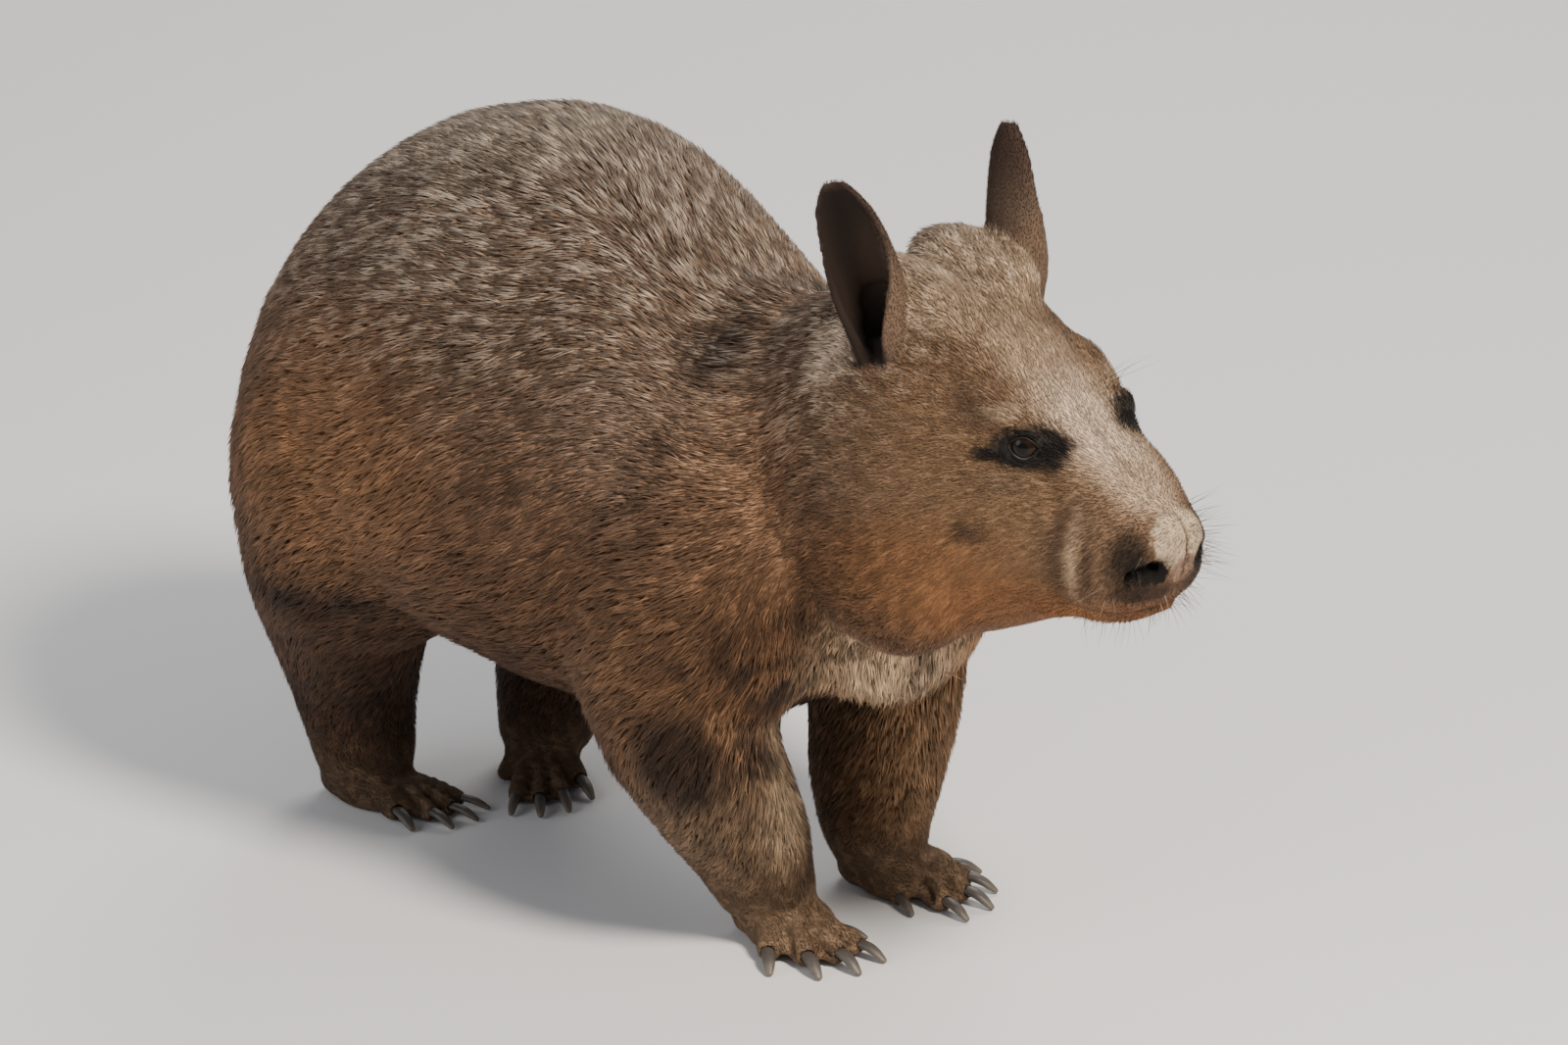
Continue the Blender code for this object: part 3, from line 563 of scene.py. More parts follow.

# %% [markdown]
# ## An unwrap that skin and coat share
#
# The tufts need a place on a picture of the whole skin, so that a painter or an export finds
# the colour of each one at its root. Smart UV Project opens the skin into islands by the way its
# faces look.

# %% Unwrap the skin
BAKE_MAP = "OFBake"
bpy.context.view_layer.objects.active = skin
skin.select_set(True)
bpy.ops.object.mode_set(mode="EDIT")
bpy.ops.mesh.select_all(action="SELECT")
bpy.ops.uv.smart_project(angle_limit=math.radians(60), island_margin=0.002)
bpy.ops.object.mode_set(mode="OBJECT")
skin.select_set(False)
skin.data.uv_layers[0].name = BAKE_MAP
print("unwrapped", len(skin.data.loops), "corners")

# %% [markdown]
# ## Writing materials as sums
#
# A node tree is drawn by hand in the editor, but a marking is easier to read as an expression. A
# small class wraps a socket, so that `1 - mask` or `mask * noise` adds its Math node, and a recipe
# adds every other node in one way: its kind, its settings, and the values of its sockets.

# %% A socket that can be used in sums
class Wire:
    def __init__(self, recipe, socket):
        self.recipe, self.socket = recipe, socket

    def _sum(self, operation, first, second):
        return self.recipe.node("Math", {"operation": operation}, {0: first, 1: second})

    def __add__(self, other):
        return self._sum("ADD", self, other)

    def __radd__(self, other):
        return self._sum("ADD", other, self)

    def __sub__(self, other):
        return self._sum("SUBTRACT", self, other)

    def __rsub__(self, other):
        return self._sum("SUBTRACT", other, self)

    def __mul__(self, other):
        return self._sum("MULTIPLY", self, other)

    def __rmul__(self, other):
        return self._sum("MULTIPLY", other, self)


class Recipe:
    """A material, with one way to add nodes to it."""

    def __init__(self, name):
        self.material = bpy.data.materials.new(name)
        self.material.use_nodes = True
        self.tree = self.material.node_tree
        self.shader = self.tree.nodes["Principled BSDF"]

    def node(self, kind, settings=None, values=None, out=0):
        made = self.tree.nodes.new("ShaderNode" + kind)
        for name, setting in (settings or {}).items():
            if name == "stops":
                ramp_stops = made.color_ramp.elements
                while len(ramp_stops) < len(setting):
                    ramp_stops.new(0.5)
                for stop, (position, colour) in zip(ramp_stops, setting):
                    stop.position, stop.color = position, (*colour, 1)
            else:
                setattr(made, name, setting)
        for name, value in (values or {}).items():
            self.put(made.inputs[name], value)
        return Wire(self, made.outputs[out])

    def put(self, socket, value):
        if isinstance(value, Wire):
            self.tree.links.new(value.socket, socket)
        elif socket.type == "RGBA":
            socket.default_value = (*value, 1)
        else:
            socket.default_value = value

    def finish(self, **values):
        """Sets the shader's sockets; an underscore stands for a space."""
        for name, value in values.items():
            self.put(self.shader.inputs[name.replace("_", " ")], value)
        return self.material

    def attribute(self, name, out=2):
        return self.node("Attribute", {"attribute_name": name}, out=out)

    def vector(self, operation, first, second=(0, 0, 0), out=0):
        return self.node("VectorMath", {"operation": operation}, {0: first, 1: second}, out)

    def mix(self, share, first, second, blend="MIX"):
        settings = {"data_type": "RGBA", "blend_type": blend}
        return self.node("Mix", settings, {0: share, 6: first, 7: second}, 2)

    def step(self, value, low, high):
        """0 below low and 1 above high, smooth between; low may be the larger."""
        flipped = low > high
        ends = {3: float(flipped), 4: float(not flipped)}
        values = {0: value, 1: min(low, high), 2: max(low, high), **ends}
        return self.node("MapRange", {"interpolation_type": "SMOOTHSTEP"}, values)

    def noise(self, place, scale, detail=2.0, roughness=0.5):
        values = {"Vector": place, "Scale": scale, "Detail": detail, "Roughness": roughness}
        return self.node("TexNoise", {}, values)

    def spot(self, place, centre, radii, soft=0.35):
        """1 inside an ellipsoid, fading to 0 across its edge."""
        scaled = self.vector("DIVIDE", self.vector("SUBTRACT", place, centre), radii)
        reach = self.vector("LENGTH", scaled, out=1)
        return self.step(reach, 1 + soft, 1 - soft)

    def bump(self, height, strength, distance):
        return self.node("Bump", {}, {"Strength": strength, "Distance": distance, "Height": height})


print("recipes are ready")

# %% [markdown]
# ## The markings
#
# The coat is grey-brown with silver tips on the back, warmer on the hips, dark brown on the legs
# and paler on the paws, with a cream patch on the chest. The face is tan, with a pale bridge, dark
# patches round the eyes, an orange jaw and a cream nose pad. Some markings are painted light
# instead: painted shade in the folds of nape and hip, between the forelegs, over the eye, in the
# lip fold, the groove of the nose and the nostrils, a painted highlight over the eye, and a far
# forearm painted paler than the near one. Each marking is an ellipsoid with a soft edge, laid over
# the last, so the same function serves the skin, which gives its own place, and the tufts, which
# give the place of their roots.

# %% Colours of the coat
# Height above the floor as a share of the tallest stop, and the colour of the body there
TALLEST = 0.44
BODY_COLOURS = (
    (0.02 / TALLEST, (0.125, 0.074, 0.042)),
    (0.07 / TALLEST, (0.072, 0.036, 0.019)),
    (0.13 / TALLEST, (0.090, 0.044, 0.022)),
    (0.19 / TALLEST, (0.140, 0.070, 0.034)),
    (0.26 / TALLEST, (0.190, 0.104, 0.058)),
    (0.34 / TALLEST, (0.205, 0.126, 0.078)),
    (0.40 / TALLEST, (0.265, 0.180, 0.122)),
    (0.43 / TALLEST, (0.390, 0.300, 0.220)),
)
# Markings of the body, over each other: name, centre, radii, softness, strength, colour
BODY_SPOTS = (
    ("rump", (-0.262, 0.0, 0.255), (0.075, 0.150, 0.120), 0.45, 0.80, (0.185, 0.100, 0.055)),
    ("warm_hip", (-0.170, -0.150, 0.270), (0.075, 0.050, 0.075), 0.60, 0.85, (0.330, 0.168, 0.078)),
    ("warm_hip_left", (-0.170, 0.150, 0.270), (0.075, 0.050, 0.075), 0.60, 0.85, (0.330, 0.168, 0.078)),
    ("shoulder", (0.030, -0.080, 0.325), (0.055, 0.055, 0.060), 0.60, 0.70, (0.340, 0.222, 0.146)),
    ("shoulder_left", (0.030, 0.090, 0.325), (0.055, 0.055, 0.060), 0.60, 0.70, (0.340, 0.222, 0.146)),
    ("neck", (0.085, -0.090, 0.290), (0.045, 0.060, 0.060), 0.60, 0.70, (0.320, 0.176, 0.094)),
    ("neck_left", (0.085, 0.100, 0.290), (0.045, 0.060, 0.060), 0.60, 0.70, (0.320, 0.176, 0.094)),
    # Painted shade in the folds at the nape and over the hip, darker where the skin is pressed in
    ("nape_crease_shade", (0.037, -0.050, 0.346), (0.016, 0.036, 0.016), 0.55, 0.88, (0.050, 0.030, 0.020)),
    ("nape_crease_shade_left", (0.037, 0.056, 0.346), (0.016, 0.036, 0.016), 0.55, 0.88, (0.050, 0.030, 0.020)),
    ("hip_crease_shade", (-0.185, -0.140, 0.170), (0.060, 0.032, 0.010), 0.60, 0.80, (0.036, 0.018, 0.010)),
    ("hip_crease_shade_left", (-0.185, 0.140, 0.170), (0.060, 0.032, 0.010), 0.60, 0.80, (0.036, 0.018, 0.010)),
    ("upper_arm", (0.060, -0.112, 0.190), (0.060, 0.050, 0.060), 0.60, 0.80, (0.255, 0.135, 0.068)),
    ("upper_arm_left", (0.060, 0.118, 0.190), (0.060, 0.050, 0.060), 0.60, 0.80, (0.255, 0.135, 0.068)),
    ("forearm", (0.070, -0.085, 0.095), (0.046, 0.055, 0.070), 0.50, 0.85, (0.250, 0.158, 0.092)),
    # Painted light: the far forearm gets a paler copy of the near one's colour, as if more light fell on
    # it
    ("far_forearm_painted_light", (0.075, 0.070, 0.095), (0.046, 0.055, 0.070), 0.50, 0.85, (0.360, 0.205, 0.105)),
    ("chest_side", (0.108, -0.100, 0.195), (0.038, 0.042, 0.055), 0.50, 0.70, (0.180, 0.090, 0.042)),
    ("chest_side_left", (0.110, 0.115, 0.195), (0.038, 0.042, 0.055), 0.50, 0.70, (0.180, 0.090, 0.042)),
    ("chest", (0.150, 0.002, 0.190), (0.055, 0.068, 0.062), 0.50, 0.92, (0.380, 0.190, 0.085)),
    ("chest_cream", (0.150, -0.036, 0.190), (0.040, 0.046, 0.046), 0.60, 0.88, (0.700, 0.500, 0.320)),
    ("elbow", (0.070, -0.126, 0.135), (0.024, 0.030, 0.036), 0.50, 0.85, (0.030, 0.015, 0.009)),
    ("elbow_left", (0.070, 0.122, 0.135), (0.024, 0.030, 0.036), 0.50, 0.85, (0.030, 0.015, 0.009)),
    # Painted shade on the inner sides of the forelegs, where they face each other
    ("between_forelegs_shade", (0.060, 0.0, 0.112), (0.045, 0.040, 0.050), 0.50, 0.60, (0.035, 0.018, 0.010)),
    ("shin", (0.098, -0.062, 0.112), (0.015, 0.020, 0.062), 0.55, 0.95, (0.500, 0.350, 0.215)),
    ("shin_left", (0.104, 0.050, 0.100), (0.015, 0.020, 0.056), 0.55, 0.85, (0.380, 0.235, 0.130)),
    ("hind_front", (-0.192, 0.0, 0.070), (0.030, 0.150, 0.050), 0.50, 0.60, (0.040, 0.021, 0.012)),
    ("fore_paws", (0.085, 0.0, 0.004), (0.095, 0.160, 0.034), 0.40, 0.95, (0.175, 0.112, 0.066)),
    ("hind_paws", (-0.200, 0.0, 0.004), (0.120, 0.180, 0.030), 0.40, 0.90, (0.125, 0.078, 0.046)),
)
# Markings of the head, on the straight head's left half
HEAD_SPOTS = (
    ("face", (0.110, 0.0, 0.330), (0.105, 0.105, 0.090), 0.35, 1.00, (0.230, 0.134, 0.070)),
    ("forehead", (0.096, 0.034, 0.386), (0.032, 0.024, 0.022), 0.60, 0.70, (0.180, 0.104, 0.056)),
    ("crown", (0.066, 0.020, 0.416), (0.050, 0.044, 0.026), 0.60, 0.90, (0.520, 0.370, 0.240)),
    ("nape", (0.000, 0.030, 0.395), (0.032, 0.050, 0.026), 0.60, 0.60, (0.230, 0.155, 0.105)),
    ("behind_ear", (0.022, 0.062, 0.380), (0.019, 0.024, 0.020), 0.70, 0.95, (0.850, 0.660, 0.480)),
    ("cheek_low", (0.105, 0.085, 0.270), (0.060, 0.060, 0.030), 0.60, 0.90, (0.300, 0.145, 0.062)),
    ("jaw", (0.150, 0.040, 0.250), (0.060, 0.050, 0.022), 0.55, 0.90, (0.300, 0.135, 0.055)),
    ("cheek_dot", (0.130, 0.068, 0.299), (0.010, 0.012, 0.006), 0.60, 0.75, (0.060, 0.034, 0.020)),
    ("muzzle", (0.190, 0.030, 0.300), (0.030, 0.034, 0.030), 0.50, 0.80, (0.160, 0.096, 0.054)),
    ("bridge", (0.158, 0.0, 0.352), (0.054, 0.021, 0.036), 0.85, 0.95, (0.720, 0.560, 0.410)),
    ("bridge_high", (0.118, 0.0, 0.384), (0.034, 0.026, 0.018), 0.60, 0.80, (0.430, 0.300, 0.195)),
    ("muzzle_top", (0.194, 0.0, 0.326), (0.020, 0.017, 0.014), 0.50, 0.85, (0.480, 0.345, 0.235)),
    ("bridge_line", (0.170, 0.0, 0.345), (0.044, 0.0035, 0.030), 0.60, 0.45, (0.240, 0.160, 0.110)),
    # The first dark streak is painted shade in the fold between cheek and muzzle
    ("streak_dark", (0.172, 0.042, 0.292), (0.0040, 0.020, 0.022), 0.85, 0.60, (0.070, 0.040, 0.025)),
    ("streak_pale", (0.180, 0.038, 0.290), (0.0036, 0.020, 0.019), 0.90, 0.75, (0.500, 0.350, 0.215)),
    ("streak_dark_2", (0.188, 0.036, 0.288), (0.0030, 0.018, 0.017), 0.85, 0.55, (0.080, 0.046, 0.029)),
    # Painted shade in the socket over the eye, then a painted highlight where the fold of the upper lid
    # catches the light
    ("socket_painted_shade", (0.122, 0.046, 0.360), (0.018, 0.014, 0.010), 0.60, 0.70, (0.100, 0.056, 0.032)),
    ("brow", (0.134, 0.039, 0.3605), (0.013, 0.012, 0.0036), 0.85, 0.65, (0.430, 0.305, 0.198)),
    ("under_eye", (0.141, 0.050, 0.327), (0.018, 0.016, 0.006), 0.60, 0.60, (0.180, 0.112, 0.064)),
    ("eye_patch", (0.1440, 0.037, 0.3432), (0.0160, 0.024, 0.0112), 0.24, 1.00, (0.005, 0.004, 0.003)),
    ("eye_front", (0.1585, 0.030, 0.3445), (0.0068, 0.014, 0.0155), 0.45, 1.00, (0.006, 0.004, 0.003)),
    ("eye_back", (0.1295, 0.049, 0.3395), (0.0085, 0.016, 0.0036), 0.45, 0.95, (0.006, 0.004, 0.003)),
    ("beside_nose", (0.206, 0.025, 0.291), (0.012, 0.011, 0.018), 0.55, 0.95, (0.009, 0.006, 0.004)),
    ("under_nose", (0.208, 0.016, 0.276), (0.014, 0.018, 0.0070), 0.40, 0.85, (0.034, 0.019, 0.012)),
    ("lip", (0.200, 0.012, 0.262), (0.020, 0.026, 0.007), 0.45, 0.90, (0.215, 0.092, 0.038)),
    ("nose_pad", (0.2200, 0.0, 0.3030), (0.0160, 0.0185, 0.0168), 0.10, 1.00, (0.480, 0.365, 0.245)),
    ("septum", (0.2230, 0.0, 0.2860), (0.0120, 0.0085, 0.0080), 0.25, 1.00, (0.300, 0.185, 0.120)),
    # Painted shade in the groove of the nose and in the notch at its top
    ("nose_groove_shade", (0.2200, 0.0, 0.2960), (0.0200, 0.0014, 0.0200), 0.60, 0.75, (0.130, 0.080, 0.050)),
    ("nose_notch_shade", (0.2160, 0.0, 0.3200), (0.0050, 0.0030, 0.0030), 0.60, 0.75, (0.090, 0.055, 0.035)),
    # The nostrils are painted near black: painted shade inside the openings
    ("nostril", (0.2160, 0.0180, 0.2865), (0.0120, 0.0095, 0.0070), 0.20, 1.00, (0.005, 0.004, 0.003)),
)
# Places that the functions below need: centre, radii, softness; all but the parting on the head
SPOTS = {
    "parting": ((0.100, 0.0, 0.170), (0.075, 0.160, 0.075), 0.4),
    "face": ((0.135, 0.0, 0.320), (0.110, 0.110, 0.085), 0.25),
    "ear_lobe": ((0.066, 0.054, 0.402), (0.013, 0.014, 0.024), 0.5),
    # Where the painted light in the ear's hollow lies
    "ear_hollow_painted_light": ((0.046, 0.060, 0.425), (0.010, 0.020, 0.022), 0.7),
    "nose_pores": ((0.2200, 0.0, 0.3030), (0.0160, 0.0180, 0.0168), 0.10),
    "lid_pores": ((0.1422, 0.036, 0.3440), (0.0125, 0.020, 0.0090), 0.2),
    "mouth": ((0.1850, 0.012, 0.2615), (0.026, 0.026, 0.0016), 0.5),
    # Where the painted highlight of the wet lower lid lies
    "wet_lid_highlight": ((0.1422, 0.040, 0.3385), (0.0090, 0.02, 0.0026), 0.4),
    "eye_corner": ((0.1335, 0.041, 0.3420), (0.0026, 0.02, 0.0030), 0.5),
}
EAR_OUTSIDE, EAR_DARK, EAR_LOBE = (0.100, 0.066, 0.045), (0.052, 0.030, 0.021), (0.165, 0.105, 0.066)
# The ear's hollow is partly its own dark skin and partly painted shade, and its paler middle is painted
# light
EAR_SKIN_AND_HOLLOW_SHADE, EAR_PAINTED_LIGHT = (0.015, 0.009, 0.006), (0.055, 0.031, 0.020)
SILVER, PARTED_HAIR, MOUTH_SKIN = (0.600, 0.500, 0.390), (0.030, 0.016, 0.010), (0.030, 0.016, 0.012)


# %% One function for the markings of skin and coat
def straight_head(recipe, place):
    """Object places as places on the straight head, the right half mirrored to the left."""
    centred = recipe.node("Mapping", {"vector_type": "TEXTURE"}, {
        "Vector": place,
        "Location": HEAD_ZERO,
        "Rotation": HEAD_TURN.to_euler(),
    })
    parts = recipe.node("SeparateXYZ", {}, {0: centred})
    outputs = parts.socket.node.outputs
    forwards, aside, level = (Wire(recipe, output) for output in outputs)
    half = recipe.node("Math", {"operation": "ABSOLUTE"}, {0: aside})
    return recipe.node("CombineXYZ", {}, {0: forwards, 1: half, 2: level})


def height_of(recipe, place):
    """The third number of a place."""
    parts = recipe.node("SeparateXYZ", {}, {0: place})
    return Wire(recipe, parts.socket.node.outputs[2])


def markings(recipe, place, tip, shade):
    """The coat's colour at a place, and that place on the straight head.

    tip runs from 0 at the root of a hair to 1 at its end, and shade is a tuft's own brightness.
    """
    height = height_of(recipe, place)
    mottle = recipe.noise(place, 26.0, 3.0)
    clumps = recipe.noise(place, 150.0, 2.0)
    level = height + (mottle - 0.5) * 0.05
    colour = recipe.node("ValToRGB", {"stops": BODY_COLOURS}, {0: level * (1 / TALLEST)})
    for _, centre, radii, soft, strength, paint in BODY_SPOTS:
        colour = recipe.mix(recipe.spot(place, centre, radii, soft) * strength, colour, paint)
    head_place = straight_head(recipe, place)
    # A little noise frays the edges of the face's markings
    loose = recipe.node("TexNoise", {}, {"Vector": place, "Scale": 330.0, "Detail": 1.0}, 1)
    fray = recipe.vector("SCALE", recipe.vector("SUBTRACT", loose, (0.5, 0.5, 0.5)))
    fray.socket.node.inputs["Scale"].default_value = 0.0065
    frayed = recipe.vector("ADD", head_place, fray)
    for _, centre, radii, soft, strength, paint in HEAD_SPOTS:
        colour = recipe.mix(recipe.spot(frayed, centre, radii, soft) * strength, colour, paint)
    # Dark patches where the long hair of chest and elbow parts
    parted = recipe.step(recipe.noise(place, 62.0, 3.0), 0.53, 0.60)
    parted = parted * recipe.spot(place, *SPOTS["parting"])
    colour = recipe.mix(parted * 0.75, colour, PARTED_HAIR)
    # Silver tips, in clumps, over back and crown, and hardly any on the face
    flecks = recipe.step(clumps, 0.46, 0.62)
    face = recipe.spot(head_place, *SPOTS["face"])
    silvered = recipe.step(height, 0.27, 0.42) * flecks * recipe.step(tip, 0.15, 0.85) * (1 - 0.85 * face)
    colour = recipe.mix(silvered * 0.85, colour, SILVER)
    # Tips are lighter than roots, and tufts and clumps differ, less so on the face
    light = 0.66 + 0.74 * tip
    calm = 1 - 0.55 * face
    light = light * (1 + (shade - 0.5) * 0.90 * calm) * (1 + (mottle - 0.5) * 0.76 * calm)
    light = light * (1 + (flecks - 0.6) * 0.50 * calm)
    grey = recipe.node("CombineXYZ", {}, {0: light, 1: light, 2: light})
    return recipe.mix(1.0, colour, grey, "MULTIPLY"), head_place


def ear_colours(recipe, head_place, shade):
    """The back of an ear: pale at its foot and front edge, dark towards the tip."""
    dark = recipe.step(height_of(recipe, head_place), 0.425, 0.462)
    colour = recipe.mix(dark, EAR_OUTSIDE, EAR_DARK)
    lobe = recipe.spot(head_place, *SPOTS["ear_lobe"])
    colour = recipe.mix(lobe * 0.85, colour, EAR_LOBE)
    brightness = recipe.mix(shade, (0.6, 0.6, 0.6), (1.35, 1.35, 1.35))
    return recipe.mix(1.0, colour, brightness, "MULTIPLY")


# %% The coat's material
def coat_material():
    recipe = Recipe("coat_hair")
    place = recipe.attribute("root", out=1)
    tip = recipe.attribute("tip")
    shade = recipe.attribute("shade")
    colour, head_place = markings(recipe, place, tip, shade)
    ear = recipe.attribute("ear")
    colour = recipe.mix(ear, colour, ear_colours(recipe, head_place, shade))
    # Tufts in the ear's hollow take its colour, partly dark skin and partly painted shade
    cup = recipe.attribute("cup")
    colour = recipe.mix(cup, colour, EAR_SKIN_AND_HOLLOW_SHADE)
    return recipe.finish(Base_Color=colour, Roughness=0.78 - 0.16 * tip, Specular_IOR_Level=0.28)


COAT = coat_material()
print("coat material with", len(COAT.node_tree.nodes), "nodes")


# %% The skin's material
def field(mesh, name, values):
    """Gives every vertex a number or a vector that the materials can read."""
    vector = values.ndim == 2
    made = mesh.attributes.new(name, "FLOAT_VECTOR" if vector else "FLOAT", "POINT")
    made.data.foreach_set("vector" if vector else "value", values.astype(np.float32).ravel())


def skin_material():
    recipe = Recipe("skin")
    place = recipe.node("TexCoord", out=3)
    ear = recipe.attribute("ear")
    colour, head_place = markings(recipe, place, 0.45, 0.5)
    colour = recipe.mix(ear, colour, ear_colours(recipe, head_place, 0.5))
    # The ear's hollow is partly dark skin and partly painted shade, with a patch of painted light in its
    # middle
    cup = recipe.attribute("cup")
    painted_light_patch = recipe.spot(head_place, *SPOTS["ear_hollow_painted_light"])
    colour = recipe.mix(cup, colour, recipe.mix(painted_light_patch * 0.6, EAR_SKIN_AND_HOLLOW_SHADE, EAR_PAINTED_LIGHT))
    grain = recipe.noise(place, 900.0, 3.0, 0.6)
    pores = recipe.node("TexVoronoi", {"feature": "DISTANCE_TO_EDGE"}, {"Vector": place, "Scale": 620.0})
    mouth = recipe.spot(head_place, *SPOTS["mouth"])
    colour = recipe.mix(mouth * 0.8, colour, MOUTH_SKIN)
    # Fine pores on the nose pad and the lids, where the hair is shortest or missing
    pored = [recipe.spot(head_place, *SPOTS[name]) for name in ("nose_pores", "lid_pores")]
    pored = recipe.node("Math", {"operation": "MAXIMUM"}, {0: pored[0], 1: pored[1]})
    height = grain * 0.6 + recipe.step(pores, 0.0, 0.12) * 0.4 * pored
    return recipe.finish(
        Base_Color=colour, Roughness=0.85 - 0.15 * pored, Specular_IOR_Level=0.22,
        Normal=recipe.bump(height, 0.45, 0.0007),
    )


skin.data.materials.clear()
skin.data.materials.append(skin_material())
ears = ear_share(points_of(skin.data))
field(skin.data, "ear", ears)
field(skin.data, "cup", cup_share(points_of(skin.data), ears))
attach(skin, "root")
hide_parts(*FLESH)
print("skin material with", len(skin.data.materials[0].node_tree.nodes), "nodes")

# %% [markdown]
# ## The lie of the coat
#
# Hair grows away from the nose, back along the body and down the legs, so the tufts need a
# direction everywhere. It is blended from a few simple flows: away from the nose on the head,
# back and a little down on the body, down on breast, rump and legs, forwards on the feet, and
# from base to tip on the ears. A slow swirl keeps them from looking combed, and each is then laid
# flat on the skin.

# %% Which way the hair lies
NOSE_TOP = np.array((0.226, 0.0, 0.312))
EAR_RISE = {}
for side, sign in SIDES:
    rise = [tip - base for base, tip in zip(EAR_BASE, EAR_TIP)]
    EAR_RISE[side] = np.array(HEAD_TURN @ Vector((rise[0], rise[1] * sign, rise[2])))
RUMP_FLOW, CHEST_FLOW = np.array((-0.30, 0.0, -1.0)), np.array((-0.15, 0.0, -1.0))
LEG_FLOW, FOOT_FLOW = np.array((-0.38, 0.0, -1.0)), np.array((1.0, 0.0, -0.30))
BELLY_FLOW, NOSE_FLOW_DOWN = np.array((-1.0, 0, -0.1)), np.array((0, 0, -0.25))


def unit(vectors):
    return vectors / np.maximum(np.linalg.norm(vectors, axis=1, keepdims=True), 1e-9)


def swirl(places, wavelength, seed):
    """A smooth field of small turns, built from a few sine waves in seeded directions."""
    draw = np.random.default_rng(seed)
    field = np.zeros((len(places), 3))
    for _ in range(6):
        wave = unit(draw.normal(size=(1, 3)))[0] * 2 * math.pi / wavelength * draw.uniform(0.6, 1.5)
        field += np.sin(places @ wave + draw.uniform(0, 6.28))[:, None] * unit(draw.normal(size=(1, 3)))
    return field / 6


def blended(flow, other, share):
    return flow + (other - flow) * share[:, None]


def lie_of_coat(places, normals, ears):
    local = head_frame(places)
    spread = np.abs(normals[:, 1])
    flow = np.column_stack((-np.ones(len(places)), np.zeros(len(places)), -0.22 - 0.45 * spread))
    flow = blended(flow, RUMP_FLOW, ramp(places[:, 0], -0.19, -0.29))
    belly = ramp(normals[:, 2], -0.2, -0.6) * ramp(places[:, 2], 0.08, 0.12)
    flow = blended(flow, BELLY_FLOW, belly)
    chest = ramp(places[:, 0], 0.07, 0.13) * ramp(local[:, 2], 0.28, 0.24)
    flow = blended(flow, CHEST_FLOW, chest)
    leg = ramp(places[:, 2], 0.20, 0.12) * ramp(normals[:, 2], -0.7, -0.4)
    flow = blended(flow, LEG_FLOW, leg)
    flow = blended(flow, FOOT_FLOW, ramp(places[:, 2], 0.045, 0.025))
    away = unit(local - NOSE_TOP) + NOSE_FLOW_DOWN * ramp(local[:, 2], 0.36, 0.30)[:, None]
    away = away @ np.array(HEAD_TURN).T
    flow = blended(flow, away, ramp(local[:, 0], 0.00, 0.06) * ramp(local[:, 2], 0.225, 0.25))
    up_ear = np.where((local[:, 1] > 0)[:, None], EAR_RISE["left"], EAR_RISE["right"])
    flow = blended(unit(flow), unit(up_ear), ears)
    flow = unit(flow) + swirl(places, 0.09, 3) * 0.55 + swirl(places, 0.022, 4) * 0.30
    flat = flow - normals * np.sum(flow * normals, axis=1)[:, None]
    return unit(flat)


# %% [markdown]
# ## Where tufts grow
#
# Tufts are rooted on the skin's triangles, as many to each as its area and the length of the
# hair there ask: short hair needs more and smaller tufts to cover. A count that runs on from
# triangle to triangle spreads them evenly, and a seeded draw places each inside its triangle.

# %% Roots of the tufts
mesh = skin.data
mesh.calc_loop_triangles()
SKIN_CORNERS = np.array([t.vertices for t in mesh.loop_triangles])
SKIN_LOOPS = np.array([t.loops for t in mesh.loop_triangles])
SKIN_POINTS, SKIN_NORMALS = points_of(mesh), points_of(mesh, "normal")
flat_map = np.empty(len(mesh.loops) * 2, np.float32)
mesh.uv_layers[BAKE_MAP].data.foreach_get("uv", flat_map)
SKIN_MAP = flat_map.reshape(-1, 2).astype(float)

corners = SKIN_POINTS[SKIN_CORNERS]
sides_crossed = np.cross(corners[:, 1] - corners[:, 0], corners[:, 2] - corners[:, 0])
SKIN_AREAS = np.linalg.norm(sides_crossed, axis=1) / 2
centres = corners.mean(1)
centre_normals = unit(SKIN_NORMALS[SKIN_CORNERS].mean(1))
centre_ears = ears[SKIN_CORNERS].mean(1)

# Hair length in metres, and tufts to the square metre where it is that long
COVER_LENGTHS = (0.0015, 0.0030, 0.0045, 0.0070, 0.0120, 0.0215)
COVER_TUFTS = (900000, 880000, 850000, 780000, 640000, 500000)
COAT_TUFTS = 354000


def bare_share(places, normals, ears):
    """1 where no tuft grows: eyes and rims, nostrils, mouth, hollows of the ears, and soles."""
    local = both_sides(head_frame(places))
    bare = np.zeros(len(places))
    for centre, radii in (
        ((EYE_AHEAD, EYE_SIDE, EYE_LEVEL), (0.0108, 0.0200, 0.0078)),
        ((0.2160, 0.0180, 0.2865), (0.0120, 0.0090, 0.0066)),
    ):
        reach = np.linalg.norm((local - np.array(centre)) / np.array(radii), axis=1)
        bare = np.maximum(bare, ramp(reach, 1.10, 0.92))
    bare = np.maximum(bare, ramp(distance_to_path(local, MOUTH), 0.0022, 0.0014))
    bare = np.maximum(bare, cup_share(places, ears))
    bare = np.maximum(bare, ramp(places[:, 2], 0.004, 0.002))
    return np.maximum(bare, ramp(normals[:, 2], -0.75, -0.92) * ramp(places[:, 2], 0.03, 0.02))


